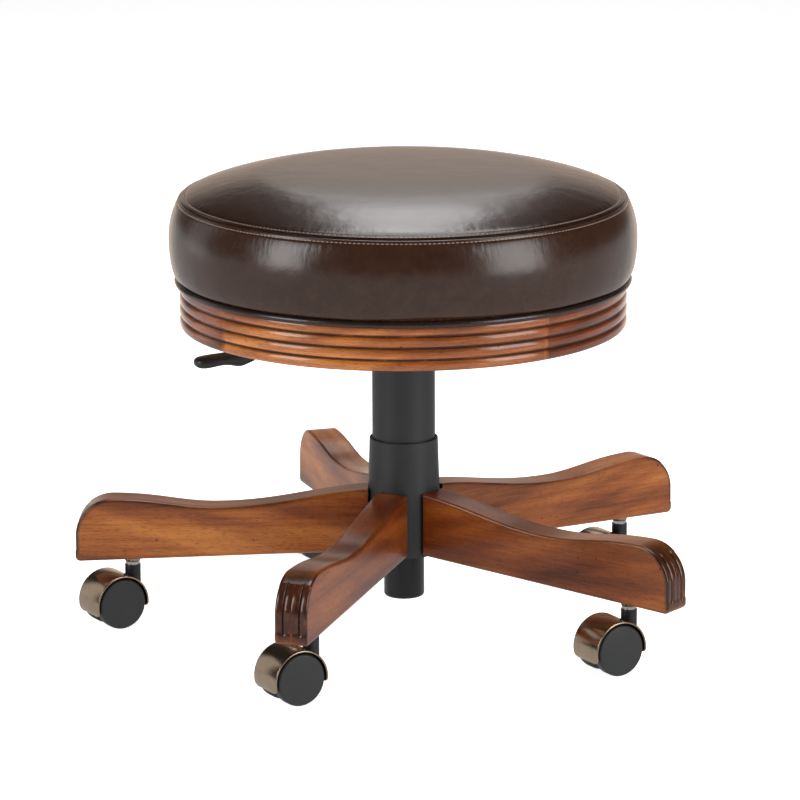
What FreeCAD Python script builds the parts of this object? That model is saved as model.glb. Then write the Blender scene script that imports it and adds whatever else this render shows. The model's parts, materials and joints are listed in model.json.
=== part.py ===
import FreeCAD, Part
import math
import os

# Swivel vanity stool: round leather cushion on a reeded apron, gas-lift column, five legs on casters.
# Millimetres, Z up, origin on the floor under the column. Leg 4 points along -X.

# Fits
RUNNING_GAP = 0.05
PRESS_GAP = 0.02
CLEAR_GAP = 0.3

# Caster
WHEEL_RADIUS = 25.0
WHEEL_WIDTH = 12.0
WHEEL_EDGE_ROUND = 2.2
WHEEL_FACE_DOME = 0.6
WHEEL_FACE_WALL = 2.0
CASTER_BODY_SIDE = 0.2
CASTER_BODY_FLOOR_GAP = 12.0
CASTER_TRAIL = 22.0
CASTER_HEADING = 213.0
HOOD_GAP = 1.2
HOOD_WALL = 1.6
HOOD_FRONT_ANGLE = -20.0
HOOD_REAR_ANGLE = 192.0
AXLE_RADIUS = 4.0
AXLE_END_PLAY = 0.5
STEM_RADIUS = 5.5
STEM_FOOT = 24.0
COLLAR_WALL = 2.3
COLLAR_FOOT = 20.0
COLLAR_RISE = 6.6
NECK_STEP = 1.5
NECK_HEIGHT = 3.0
SOCKET_WALL = 0.95
SOCKET_FLANGE_STEP = 1.1
SOCKET_FLANGE_HEIGHT = 5.0
SOCKET_DEPTH = 40.0
STEM_HEADROOM = 2.0

# Legs
LEG_COUNT = 5
FIRST_LEG_ANGLE = -36.0
LEG_TIP_RADIUS = 325.0
CASTER_INSET = 55.6
LEG_THICKNESS = 32.0
LEG_UNDERSIDE_SLOPE = 0.038
LEG_ROOT_DEPTH = 62.5
LEG_WAIST_RADIUS = 188.0
LEG_WAIST_DEPTH = 49.6
LEG_KNEE_DEPTH = 61.6
LEG_TIP_ROUND = 37.0
LEG_HEEL_ROUND = 5.0
LEG_EDGE_ROUND = 2.2
LEG_ROOT_DIP = 3.2
LEG_ROOT_PULL = 0.33
LEG_WAIST_ROOT_PULL = 0.41
LEG_WAIST_KNEE_PULL = 0.35
LEG_KNEE_PULL = 0.46
REED_COUNT_ON_LEG = 4
FLUTE_RADIUS = 2.6
FLUTE_DEPTH = 2.2
FLUTE_SWEEP = 58.0
FLUTE_FOOT_MARGIN = 9.0

# Leg fixings
STUD_RADIUS = 4.0
STUD_REACH = 44.0
STUD_SPREAD = 32.0
INSERT_WALL = 2.0
INSERT_LENGTH = 30.0

# Hub
HUB_WALL = 3.3
HUB_LIP_WALL = 1.7
HUB_LIP_ROUND = 0.8
HUB_BELOW_LEGS = 2.6
HUB_FLOOR = 6.0
TAPER_SOCKET_HEIGHT = 70.0
TAPER_SOCKET_WALL = 4.0

# Column and gas lift
COLUMN_RADIUS = 22.0
COLUMN_TAPER = 2.0
COLUMN_WALL = 2.0
COLUMN_BOTTOM = 28.0
COLUMN_END_ROUND = 3.0
COLUMN_TOP_GAP = 12.0
COLUMN_RECESS = 4.0
COLUMN_FLOOR = 4.0
BUSH_LENGTH = 75.0
BUSH_FLANGE = 3.0
LIFT_TRAVEL = 100.0
CYLINDER_RADIUS = 14.0
CYLINDER_WALL = 1.5
CYLINDER_TAPER_LENGTH = 27.0
CYLINDER_TAPER = 0.7
CYLINDER_HEAD = 30.0
GLAND_HEIGHT = 12.0
PISTON_HEIGHT = 14.0
PISTON_ABOVE_STROKE = 26.0
ROD_RADIUS = 5.0
ROD_FOOT_GAP = 1.0
RACE_RADIUS = 12.0
RACE_HEIGHT = 2.0
BALL_RADIUS = 2.0
BALL_COUNT = 10
BALL_CIRCLE = 8.5
ROD_COLLAR_RADIUS = 8.0
ROD_COLLAR_HEIGHT = 4.0
BUMP_RADIUS = 11.0
BUMP_HEIGHT = 13.7
CLIP_RADIUS = 8.0
CLIP_HEIGHT = 1.6
CLIP_GROOVE_DEPTH = 0.8
VALVE_RADIUS = 2.5
VALVE_LENGTH = 19.0
VALVE_RISE = 5.0
COVER_WALL = 2.0
COVER_INNER_GAP = 3.0
COVER_OUTER_GAP = 1.0
COVER_OVERLAP = 6.0
COVER_FOOT_GAP = 4.0
COVER_CAP = 2.0

# Seat mechanism
PLATE_SIDE = 150.0
PLATE_THICKNESS = 3.0
PLATE_CORNER = 10.0
BOLT_SPACING = 120.0
BOLT_RADIUS = 3.0
BOLT_HEAD_RADIUS = 5.5
BOLT_HEAD_HEIGHT = 4.0
TEE_BARREL_WALL = 1.2
TEE_BARREL_LENGTH = 10.0
TEE_FLANGE_RADIUS = 9.0
TEE_FLANGE = 1.4
HOUSING_HEIGHT = 32.0
HOUSING_WIDTH = 64.0
HOUSING_BACK = 40.0
HOUSING_FRONT = 46.0
HOUSING_WALL = 2.5
TAPER_BUSH_WALL = 5.0
TAPER_BUSH_HEIGHT = 20.0
LEVER_ANGLE = 200.0
ARM_WIDTH = 16.0
ARM_THICKNESS = 4.0
ARM_HEADROOM = 1.5
ARM_NOSE = 6.0
ARM_BEND = 40.0
ARM_END_BACK = 46.0
PIVOT_REACH = 30.0
PIVOT_RADIUS = 3.0
PIVOT_BOSS_RADIUS = 5.0

# Lever paddle: lengths back from its tip, and drops below the apron
PADDLE_WIDTH = 24.0
PADDLE_TIP_INSET = 4.8
PADDLE_ROOT_BACK = 64.0
PADDLE_ROOT_HEIGHT = 14.0
PADDLE_HEEL_BACK = 44.0
PADDLE_HEEL_DROP = 31.8
PADDLE_NECK_BACK = 30.0
PADDLE_NECK_DROP = 26.6
PADDLE_BELLY_BACK = 9.0
PADDLE_BELLY_DROP = 29.4
PADDLE_TIP_DROP = 25.2
PADDLE_THICKNESS = 8.5

# Apron and seat board
APRON_BOTTOM = 305.0
APRON_WIDTH = 24.0
APRON_SEGMENTS = 4
APRON_JOINT_ANGLE = 40.0
REED_COUNT = 4
REED_HEIGHT = 11.2
REED_DEPTH = 2.5
BOARD_THICKNESS = 15.0
APRON_SCREWS = 8
APRON_SCREW_RADIUS = 2.2
APRON_SCREW_HEAD_RADIUS = 4.5
APRON_SCREW_HEAD = 3.0
APRON_SCREW_RECESS = 18.0
APRON_SCREW_BITE = 9.0

# Piping and cushion: the widest radius, steps in from it, and heights above the top of the apron
SEAT_RADIUS = 228.6
BAND_SWELL = 6.1
BAND_OVERHANG = 2.3
PIPING_OVERHANG = 1.4
SEAM_DRAW_IN = 11.1
PIPING_RADIUS = 3.25
PIPING_TAPE = 1.2
PIPING_TAPE_WIDTH = 11.0
LEATHER = 1.6
SEAT_BULGE_HEIGHT = 42.2
SEAM_HEIGHT = 81.7
CROWN_HEIGHT = 104.7
SHOULDER_IN = 27.5
SHOULDER_DROP = 6.0
CROWN_FLAT_IN = 87.5
BAND_FOOT_PULL = (0.66, 0.21)
BAND_BULGE_PULL = (0.42, 0.38)
BAND_SEAM_PULL = (0.68, 0.27)
SEAM_INSET = (0.73, 0.69)

V = FreeCAD.Vector
ORIGIN = V(0, 0, 0)
X_AXIS = V(1, 0, 0)
Y_AXIS = V(0, 1, 0)
Z_AXIS = V(0, 0, 1)
FAR = 2.0 * LEG_TIP_RADIUS

# Radii and reaches that follow from the sizes above
collar_radius = STEM_RADIUS + COLLAR_WALL
caster_body_width = 2 * (collar_radius + CASTER_BODY_SIDE)
socket_radius = STEM_RADIUS + RUNNING_GAP + SOCKET_WALL
socket_flange_radius = socket_radius + SOCKET_FLANGE_STEP
hood_inner_radius = WHEEL_RADIUS + HOOD_GAP
wheel_inner_face = caster_body_width / 2 + CLEAR_GAP
wheel_outer_face = wheel_inner_face + WHEEL_WIDTH
caster_radius = LEG_TIP_RADIUS - CASTER_INSET
insert_radius = STUD_RADIUS + INSERT_WALL
column_end_radius = COLUMN_RADIUS - COLUMN_TAPER
cover_radius = COLUMN_RADIUS + TAPER_SOCKET_WALL + COVER_INNER_GAP + COVER_WALL
hub_bore_radius = cover_radius + COVER_OUTER_GAP
hub_radius = hub_bore_radius + HUB_WALL
leg_root_radius = hub_radius + CLEAR_GAP
clip_groove_radius = ROD_RADIUS - CLIP_GROOVE_DEPTH
tee_barrel_radius = BOLT_RADIUS + TEE_BARREL_WALL
band_foot_radius = SEAT_RADIUS - BAND_SWELL
seam_radius = SEAT_RADIUS - SEAM_DRAW_IN
piping_circle = band_foot_radius - BAND_OVERHANG
board_radius = piping_circle - PIPING_RADIUS - CLEAR_GAP
apron_radius = piping_circle - PIPING_OVERHANG
paddle_tip_reach = apron_radius - PADDLE_TIP_INSET
paddle_root_reach = paddle_tip_reach - PADDLE_ROOT_BACK
paddle_neck_reach = paddle_tip_reach - PADDLE_NECK_BACK
paddle_belly_reach = paddle_tip_reach - PADDLE_BELLY_BACK

# Heights that follow from the sizes above
collar_top = WHEEL_RADIUS + hood_inner_radius + HOOD_WALL + COLLAR_RISE
socket_foot = collar_top + NECK_HEIGHT + CLEAR_GAP
leg_seat = socket_foot + SOCKET_FLANGE_HEIGHT
column_floor_top = COLUMN_BOTTOM + COLUMN_RECESS + COLUMN_FLOOR
ball_level = column_floor_top + RACE_HEIGHT + BALL_RADIUS
upper_race_bottom = ball_level + BALL_RADIUS
rod_collar_bottom = upper_race_bottom + RACE_HEIGHT
bump_bottom = rod_collar_bottom + ROD_COLLAR_HEIGHT
cylinder_bottom = bump_bottom + BUMP_HEIGHT + CLEAR_GAP
piston_bottom = cylinder_bottom + GLAND_HEIGHT + LIFT_TRAVEL + PISTON_ABOVE_STROKE
apron_top = APRON_BOTTOM + REED_COUNT * REED_HEIGHT
board_top = apron_top + BOARD_THICKNESS
plate_bottom = apron_top - PLATE_THICKNESS
housing_bottom = plate_bottom - HOUSING_HEIGHT
arm_bottom = plate_bottom - ARM_HEADROOM - ARM_THICKNESS
valve_top = arm_bottom - CLEAR_GAP
cylinder_top = valve_top - VALVE_RISE
cylinder_taper_foot = cylinder_top - CYLINDER_TAPER_LENGTH
pivot_level = arm_bottom + ARM_THICKNESS - PIVOT_BOSS_RADIUS
column_top = housing_bottom - COVER_CAP - COLUMN_TOP_GAP - BUSH_FLANGE


def underside(radius):
    """Height of a leg's straight underside at a distance from the column axis."""
    return leg_seat + (caster_radius - radius) * LEG_UNDERSIDE_SLOPE


hub_bottom = underside(leg_root_radius) - HUB_BELOW_LEGS
leg_root_top = underside(leg_root_radius) + LEG_ROOT_DEPTH
cover_bottom = hub_bottom + HUB_FLOOR + COVER_FOOT_GAP
hub_top = cover_bottom + LIFT_TRAVEL + COVER_OVERLAP
taper_socket_top = hub_bottom + TAPER_SOCKET_HEIGHT


def turned(profile):
    """Solid turned about Z from a closed outline of (radius, height) corners."""
    corners = [V(radius, 0, height) for radius, height in profile]
    outline = Part.makePolygon(corners + corners[:1])
    return Part.Face(outline).revolve(ORIGIN, Z_AXIS, 360)


def ring(inner, outer, bottom, top):
    """Flat-ended ring about Z."""
    return turned([(inner, bottom), (outer, bottom), (outer, top), (inner, top)])


def cylinder(radius, bottom, top, x=0.0, y=0.0):
    """Upright cylinder between two heights."""
    return Part.makeCylinder(radius, top - bottom, V(x, y, bottom), Z_AXIS)


def line(start, end):
    """Straight edge."""
    return Part.LineSegment(start, end).toShape()


def arc(start, middle, end):
    """Arc through three points."""
    return Part.Arc(start, middle, end).toShape()


def bezier(*poles):
    """Smooth edge drawn by its control points."""
    curve = Part.BezierCurve()
    curve.setPoles(list(poles))
    return curve.toShape()


def upright_face(edges):
    """Face closed by edges that run on from one another."""
    return Part.Face(Part.Wire(edges))


def turned_by(shape, angle):
    """Copy of a shape turned about the column axis."""
    copy = shape.copy()
    copy.rotate(ORIGIN, Z_AXIS, angle)
    return copy


def around(shape, count, first_angle):
    """Copies of a shape spaced evenly about the column axis."""
    step = 360.0 / count
    return [turned_by(shape, first_angle + index * step) for index in range(count)]


# Casters, modelled with the stem on the Z axis, the wheels trailing along +X and the axle along Y


def caster_hood():
    """Curved bronze shell over both wheels, notched for the collar."""
    half_width = wheel_outer_face
    foot = V(CASTER_TRAIL, -half_width, WHEEL_RADIUS)
    outer = Part.makeCylinder(hood_inner_radius + HOOD_WALL, 2 * half_width, foot, Y_AXIS)
    inner = Part.makeCylinder(hood_inner_radius, 2 * half_width, foot, Y_AXIS)
    reach = 4 * WHEEL_RADIUS
    front = math.radians(HOOD_FRONT_ANGLE)
    rear = math.radians(HOOD_REAR_ANGLE)
    front_end = foot + V(reach * math.cos(front), 0, reach * math.sin(front))
    rear_end = foot + V(reach * math.cos(rear), 0, reach * math.sin(rear))
    below = V(0, 0, -2 * reach)
    corners = [foot, front_end, front_end + below, rear_end + below, rear_end, foot]
    mouth = Part.Face(Part.makePolygon(corners)).extrude(V(0, 2 * half_width, 0))
    collar = cylinder(collar_radius + PRESS_GAP, 0, collar_top)
    return outer.cut(inner).cut(mouth).cut(collar)


def caster_body():
    """Black body between the wheels, with the upright collar that holds the stem."""
    foot = V(CASTER_TRAIL, -caster_body_width / 2, WHEEL_RADIUS)
    web = Part.makeCylinder(hood_inner_radius - PRESS_GAP, caster_body_width, foot, Y_AXIS)
    floor_side = Part.makeBox(FAR, FAR, CASTER_BODY_FLOOR_GAP, V(-FAR / 2, -FAR / 2, 0))
    below_floor = Part.makeBox(FAR, FAR, FAR, V(-FAR / 2, -FAR / 2, -FAR))
    collar = cylinder(collar_radius, COLLAR_FOOT, collar_top)
    body = web.cut(floor_side).cut(below_floor).fuse(collar)
    axle_bore = Part.makeCylinder(AXLE_RADIUS + PRESS_GAP, caster_body_width, foot, Y_AXIS)
    stem_bore = cylinder(STEM_RADIUS + PRESS_GAP, STEM_FOOT, collar_top)
    return body.cut(axle_bore).cut(stem_bore)


def caster_stem():
    """Chrome stem with a flange that bears under the socket."""
    neck_top = collar_top + NECK_HEIGHT
    top = leg_seat + SOCKET_DEPTH - STEM_HEADROOM
    neck_radius = STEM_RADIUS + NECK_STEP
    return turned([
        (0, STEM_FOOT),
        (STEM_RADIUS, STEM_FOOT),
        (STEM_RADIUS, collar_top),
        (neck_radius, collar_top),
        (neck_radius, neck_top),
        (STEM_RADIUS, neck_top),
        (STEM_RADIUS, top),
        (0, top),
    ])


def caster_axle():
    """Steel pin through the body, hidden behind the wheel faces."""
    half_length = wheel_outer_face - WHEEL_FACE_WALL - AXLE_END_PLAY
    foot = V(CASTER_TRAIL, -half_length, WHEEL_RADIUS)
    return Part.makeCylinder(AXLE_RADIUS, 2 * half_length, foot, Y_AXIS)


def caster_wheel(side):
    """Nylon wheel with rounded tread edges and a closed, slightly domed outer face."""
    bore = AXLE_RADIUS + RUNNING_GAP
    rim = WHEEL_RADIUS - WHEEL_EDGE_ROUND
    bulge = WHEEL_EDGE_ROUND * (1 - math.sqrt(0.5))
    inner = wheel_inner_face
    outer = wheel_outer_face
    blind_end = outer - WHEEL_FACE_WALL
    rim_inner = V(rim, 0, inner)
    tread_inner = V(WHEEL_RADIUS, 0, inner + WHEEL_EDGE_ROUND)
    tread_outer = V(WHEEL_RADIUS, 0, outer - WHEEL_EDGE_ROUND)
    rim_outer = V(rim, 0, outer)
    dome_radius = (rim ** 2 + WHEEL_FACE_DOME ** 2) / (2 * WHEEL_FACE_DOME)
    dome_centre = outer + WHEEL_FACE_DOME - dome_radius
    face_middle = V(0, 0, outer + WHEEL_FACE_DOME)
    face_half = V(rim / 2, 0, dome_centre + math.sqrt(dome_radius ** 2 - (rim / 2) ** 2))
    outline = upright_face([
        line(V(bore, 0, inner), rim_inner),
        arc(rim_inner, V(WHEEL_RADIUS - bulge, 0, inner + bulge), tread_inner),
        line(tread_inner, tread_outer),
        arc(tread_outer, V(WHEEL_RADIUS - bulge, 0, outer - bulge), rim_outer),
        arc(rim_outer, face_half, face_middle),
        line(face_middle, V(0, 0, blind_end)),
        line(V(0, 0, blind_end), V(bore, 0, blind_end)),
        line(V(bore, 0, blind_end), V(bore, 0, inner)),
    ])
    wheel = outline.revolve(ORIGIN, Z_AXIS, 360)
    wheel.rotate(ORIGIN, X_AXIS, -90 * side)
    wheel.translate(V(CASTER_TRAIL, 0, WHEEL_RADIUS))
    return wheel


def caster_socket():
    """Bronze sleeve in the leg, with the flange that shows under it."""
    bore = STEM_RADIUS + RUNNING_GAP
    top = leg_seat + SOCKET_DEPTH
    return turned([
        (bore, socket_foot),
        (socket_flange_radius, socket_foot),
        (socket_flange_radius, leg_seat),
        (socket_radius, leg_seat),
        (socket_radius, top),
        (bore, top),
    ])


def at_caster(shape, leg_angle):
    """Caster piece turned to the common heading and set under a leg."""
    placed = turned_by(shape, CASTER_HEADING)
    angle = math.radians(leg_angle)
    placed.translate(V(caster_radius * math.cos(angle), caster_radius * math.sin(angle), 0))
    return placed


# Legs and hub, with each leg modelled along +X


def stud_levels():
    """Heights of the upper and lower stud of a leg."""
    middle = underside(leg_root_radius) + LEG_ROOT_DEPTH / 2
    return [middle - STUD_SPREAD / 2, middle + STUD_SPREAD / 2]


def leg_blank():
    """Waisted side outline of a leg, extruded to its thickness and eased along its edges."""
    half = LEG_THICKNESS / 2
    knee_radius = LEG_TIP_RADIUS - LEG_TIP_ROUND
    knee_top = underside(knee_radius) + LEG_KNEE_DEPTH
    waist_top = underside(LEG_WAIST_RADIUS) + LEG_WAIST_DEPTH
    span = LEG_WAIST_RADIUS - leg_root_radius
    rise = knee_radius - LEG_WAIST_RADIUS
    root_top = V(leg_root_radius, -half, leg_root_top)
    root_foot = V(leg_root_radius, -half, underside(leg_root_radius))
    root_pull = root_top + V(LEG_ROOT_PULL * span, 0, -LEG_ROOT_DIP)
    waist_root_pull = V(LEG_WAIST_ROOT_PULL * span, 0, 0)
    waist_knee_pull = V(LEG_WAIST_KNEE_PULL * rise, 0, 0)
    knee_pull = V(LEG_KNEE_PULL * rise, 0, 0)
    waist = V(LEG_WAIST_RADIUS, -half, waist_top)
    knee = V(knee_radius, -half, knee_top)
    tip = V(LEG_TIP_RADIUS, -half, knee_top - LEG_TIP_ROUND)
    round_middle = knee + V(LEG_TIP_ROUND * math.sqrt(0.5), 0, -LEG_TIP_ROUND * (1 - math.sqrt(0.5)))
    heel_foot_radius = LEG_TIP_RADIUS - LEG_HEEL_ROUND
    heel_foot = V(heel_foot_radius, -half, underside(heel_foot_radius))
    heel_side = V(LEG_TIP_RADIUS, -half, underside(LEG_TIP_RADIUS) + LEG_HEEL_ROUND)
    heel_bulge = LEG_HEEL_ROUND * (1 - math.sqrt(0.5))
    heel_middle = V(LEG_TIP_RADIUS - heel_bulge, -half, underside(LEG_TIP_RADIUS) + heel_bulge)
    side = upright_face([
        bezier(root_top, root_pull, waist - waist_root_pull, waist),
        bezier(waist, waist + waist_knee_pull, knee - knee_pull, knee),
        arc(knee, round_middle, tip),
        line(tip, heel_side),
        arc(heel_side, heel_middle, heel_foot),
        line(heel_foot, root_foot),
        line(root_foot, root_top),
    ])
    blank = side.extrude(V(0, LEG_THICKNESS, 0))
    eased = [edge for edge in blank.Edges if is_long_edge(edge, half)]
    return blank.makeFillet(LEG_EDGE_ROUND, eased)


def is_long_edge(edge, half):
    """True for the outline edges of a leg's two sides, apart from those against the hub."""
    box = edge.BoundBox
    on_side = box.YLength < 0.01 and abs(abs(box.YMin) - half) < 0.01
    at_root = box.XMax < leg_root_radius + 0.01
    return on_side and not at_root


def leg_flute(offset):
    """Round-ended groove that runs over the rounded end of a leg and down its end face."""
    knee_radius = LEG_TIP_RADIUS - LEG_TIP_ROUND
    pivot = V(knee_radius, offset, underside(knee_radius) + LEG_KNEE_DEPTH - LEG_TIP_ROUND)
    centre = pivot + V(LEG_TIP_ROUND + FLUTE_RADIUS - FLUTE_DEPTH, 0, 0)
    foot = V(centre.x, offset, underside(LEG_TIP_RADIUS) + FLUTE_FOOT_MARGIN)
    section = Part.Face(Part.Wire(Part.makeCircle(FLUTE_RADIUS, centre, Z_AXIS)))
    over_top = section.revolve(pivot, Y_AXIS, -FLUTE_SWEEP)
    down_face = section.extrude(foot - centre)
    start = centre.sub(pivot)
    sweep = math.radians(FLUTE_SWEEP)
    upper_end = pivot + V(start.x * math.cos(sweep), 0, start.x * math.sin(sweep))
    ends = [Part.makeSphere(FLUTE_RADIUS, upper_end), Part.makeSphere(FLUTE_RADIUS, foot)]
    return over_top.fuse([down_face] + ends)


def leg():
    """One wooden leg with its flutes, socket bore and bores for the fixings."""
    shape = leg_blank()
    pitch = LEG_THICKNESS / REED_COUNT_ON_LEG
    for index in range(1, REED_COUNT_ON_LEG):
        shape = shape.cut(leg_flute(index * pitch - LEG_THICKNESS / 2))
    bore_top = leg_seat + SOCKET_DEPTH + PRESS_GAP
    shape = shape.cut(cylinder(socket_radius + PRESS_GAP, 0, bore_top, caster_radius))
    shape = shape.cut(cylinder(socket_flange_radius + CLEAR_GAP, 0, leg_seat, caster_radius))
    for level in stud_levels():
        root = V(leg_root_radius, 0, level)
        insert_bore = Part.makeCylinder(insert_radius + PRESS_GAP, INSERT_LENGTH, root, X_AXIS)
        stud_bore = Part.makeCylinder(STUD_RADIUS + CLEAR_GAP, STUD_REACH + CLEAR_GAP, root, X_AXIS)
        shape = shape.cut(insert_bore).cut(stud_bore)
    return shape


def leg_studs():
    """Pair of studs that stand out of the hub wall into a leg."""
    length = leg_root_radius + STUD_REACH - hub_bore_radius
    feet = [V(hub_bore_radius, 0, level) for level in stud_levels()]
    return [Part.makeCylinder(STUD_RADIUS, length, foot, X_AXIS) for foot in feet]


def leg_inserts():
    """Pair of threaded brass inserts in the root of a leg."""
    inserts = []
    for level in stud_levels():
        root = V(leg_root_radius, 0, level)
        sleeve = Part.makeCylinder(insert_radius, INSERT_LENGTH, root, X_AXIS)
        inserts.append(sleeve.cut(Part.makeCylinder(STUD_RADIUS + PRESS_GAP, INSERT_LENGTH, root, X_AXIS)))
    return inserts


def hub_shell():
    """Outer tube of the hub, narrowing to a lip round the sliding cover."""
    lip_radius = hub_bore_radius + HUB_LIP_WALL
    shell = turned([
        (hub_bore_radius, hub_bottom),
        (hub_radius, hub_bottom),
        (hub_radius, leg_root_top),
        (lip_radius, hub_top - HUB_LIP_ROUND),
        (lip_radius - HUB_LIP_ROUND, hub_top),
        (hub_bore_radius, hub_top),
    ])
    for level in stud_levels():
        hole = Part.makeCylinder(STUD_RADIUS + PRESS_GAP, hub_radius, V(0, 0, level), X_AXIS)
        for placed in around(hole, LEG_COUNT, FIRST_LEG_ANGLE):
            shell = shell.cut(placed)
    return shell


def hub_socket():
    """Floor of the hub with the tapered tube that the column wedges into."""
    foot = column_end_radius + PRESS_GAP
    top = COLUMN_RADIUS + PRESS_GAP
    outer = COLUMN_RADIUS + TAPER_SOCKET_WALL
    floor_radius = hub_bore_radius - PRESS_GAP
    return turned([
        (foot, hub_bottom),
        (floor_radius, hub_bottom),
        (floor_radius, hub_bottom + HUB_FLOOR),
        (outer, hub_bottom + HUB_FLOOR),
        (outer, taper_socket_top),
        (top, taper_socket_top),
    ])


# Column and gas lift


def column_tube():
    """Outer column: tapered where the hub grips it, with a rounded lower end and a recessed floor."""
    end_bore = column_end_radius - COLUMN_WALL
    bore = COLUMN_RADIUS - COLUMN_WALL
    floor_bottom = COLUMN_BOTTOM + COLUMN_RECESS
    rounding = COLUMN_END_ROUND * (1 - math.sqrt(0.5))
    recess_radius = column_end_radius - COLUMN_END_ROUND
    round_foot = V(recess_radius, 0, COLUMN_BOTTOM)
    round_middle = V(column_end_radius - rounding, 0, COLUMN_BOTTOM + rounding)
    round_top = V(column_end_radius, 0, COLUMN_BOTTOM + COLUMN_END_ROUND)
    rod_hole = ROD_RADIUS + RUNNING_GAP
    corners = [
        round_top,
        V(column_end_radius, 0, hub_bottom),
        V(COLUMN_RADIUS, 0, taper_socket_top),
        V(COLUMN_RADIUS, 0, column_top),
        V(bore, 0, column_top),
        V(bore, 0, taper_socket_top),
        V(end_bore, 0, hub_bottom),
        V(end_bore, 0, column_floor_top),
        V(rod_hole, 0, column_floor_top),
        V(rod_hole, 0, floor_bottom),
        V(recess_radius, 0, floor_bottom),
        round_foot,
    ]
    edges = [arc(round_foot, round_middle, round_top)]
    edges += [line(start, end) for start, end in zip(corners, corners[1:])]
    return upright_face(edges).revolve(ORIGIN, Z_AXIS, 360)


def guide_bush():
    """Plastic sleeve that guides the pressure cylinder at the top of the column."""
    bore = CYLINDER_RADIUS + RUNNING_GAP
    outer = COLUMN_RADIUS - COLUMN_WALL - PRESS_GAP
    bottom = column_top - BUSH_LENGTH
    top = column_top + BUSH_FLANGE
    return turned([
        (bore, bottom),
        (outer, bottom),
        (outer, column_top),
        (COLUMN_RADIUS, column_top),
        (COLUMN_RADIUS, top),
        (bore, top),
    ])


def pressure_cylinder():
    """Gas cylinder with a tapered head, bored for the valve pin."""
    bore = CYLINDER_RADIUS - CYLINDER_WALL
    valve_bore = VALVE_RADIUS + RUNNING_GAP
    chamber_top = cylinder_top - CYLINDER_HEAD
    return turned([
        (bore, cylinder_bottom),
        (CYLINDER_RADIUS, cylinder_bottom),
        (CYLINDER_RADIUS, cylinder_taper_foot),
        (CYLINDER_RADIUS - CYLINDER_TAPER, cylinder_top),
        (valve_bore, cylinder_top),
        (valve_bore, chamber_top),
        (bore, chamber_top),
    ])


def cylinder_gland():
    """Seal and guide for the rod, in the foot of the cylinder."""
    outer = CYLINDER_RADIUS - CYLINDER_WALL - PRESS_GAP
    return ring(ROD_RADIUS + RUNNING_GAP, outer, cylinder_bottom, cylinder_bottom + GLAND_HEIGHT)


def piston_rod():
    """Rod that stands on the thrust bearing, with a collar above it and a clip groove at its foot."""
    foot = COLUMN_BOTTOM + ROD_FOOT_GAP
    groove_top = COLUMN_BOTTOM + COLUMN_RECESS - CLEAR_GAP
    groove_bottom = groove_top - CLIP_HEIGHT
    top = piston_bottom + PISTON_HEIGHT
    return turned([
        (0, foot),
        (ROD_RADIUS, foot),
        (ROD_RADIUS, groove_bottom),
        (clip_groove_radius, groove_bottom),
        (clip_groove_radius, groove_top),
        (ROD_RADIUS, groove_top),
        (ROD_RADIUS, rod_collar_bottom),
        (ROD_COLLAR_RADIUS, rod_collar_bottom),
        (ROD_COLLAR_RADIUS, bump_bottom),
        (ROD_RADIUS, bump_bottom),
        (ROD_RADIUS, top),
        (0, top),
    ])


def rod_clip():
    """Clip under the column floor that keeps the rod in the column."""
    top = COLUMN_BOTTOM + COLUMN_RECESS - CLEAR_GAP
    return ring(clip_groove_radius + PRESS_GAP, CLIP_RADIUS, top - CLIP_HEIGHT, top)


def piston():
    """Piston on the top of the rod."""
    outer = CYLINDER_RADIUS - CYLINDER_WALL - RUNNING_GAP
    return ring(ROD_RADIUS + PRESS_GAP, outer, piston_bottom, piston_bottom + PISTON_HEIGHT)


def bump_stop():
    """Rubber ring that the cylinder comes down on."""
    return ring(ROD_RADIUS + PRESS_GAP, BUMP_RADIUS, bump_bottom, bump_bottom + BUMP_HEIGHT)


def lower_race():
    """Bearing race on the column floor."""
    return ring(ROD_RADIUS + RUNNING_GAP, RACE_RADIUS, column_floor_top, column_floor_top + RACE_HEIGHT)


def thrust_bearing():
    """Upper race and the balls under it."""
    race = ring(ROD_RADIUS + PRESS_GAP, RACE_RADIUS, upper_race_bottom, upper_race_bottom + RACE_HEIGHT)
    ball = Part.makeSphere(BALL_RADIUS - PRESS_GAP, V(BALL_CIRCLE, 0, ball_level))
    return [race] + around(ball, BALL_COUNT, 0)


def valve_pin():
    """Pin that opens the gas valve when the lever presses it."""
    return cylinder(VALVE_RADIUS, valve_top - VALVE_LENGTH, valve_top)


def column_cover():
    """Cover tube that hangs from the seat and slides inside the hub sleeve."""
    inner = cover_radius - COVER_WALL
    cap_hole = CYLINDER_RADIUS + CLEAR_GAP
    return turned([
        (inner, cover_bottom),
        (cover_radius, cover_bottom),
        (cover_radius, housing_bottom),
        (cap_hole, housing_bottom),
        (cap_hole, housing_bottom - COVER_CAP),
        (inner, housing_bottom - COVER_CAP),
    ])


# Seat mechanism, modelled with the lever along +X


def corner_places():
    """Bolt places on the mechanism plate."""
    half = BOLT_SPACING / 2
    return [(half, half), (-half, half), (-half, -half), (half, -half)]


def mechanism_plate():
    """Square steel plate under the seat board."""
    half = PLATE_SIDE / 2
    plate = Part.makeBox(PLATE_SIDE, PLATE_SIDE, PLATE_THICKNESS, V(-half, -half, plate_bottom))
    plate = plate.makeFillet(PLATE_CORNER, [edge for edge in plate.Edges if edge.BoundBox.ZLength > 1])
    for x, y in corner_places():
        plate = plate.cut(cylinder(BOLT_RADIUS + CLEAR_GAP, plate_bottom, apron_top, x, y))
    return plate


def taper_radius(height):
    """Radius of the cylinder's tapered head at a height."""
    share = (height - cylinder_taper_foot) / CYLINDER_TAPER_LENGTH
    return CYLINDER_RADIUS - CYLINDER_TAPER * share


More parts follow.
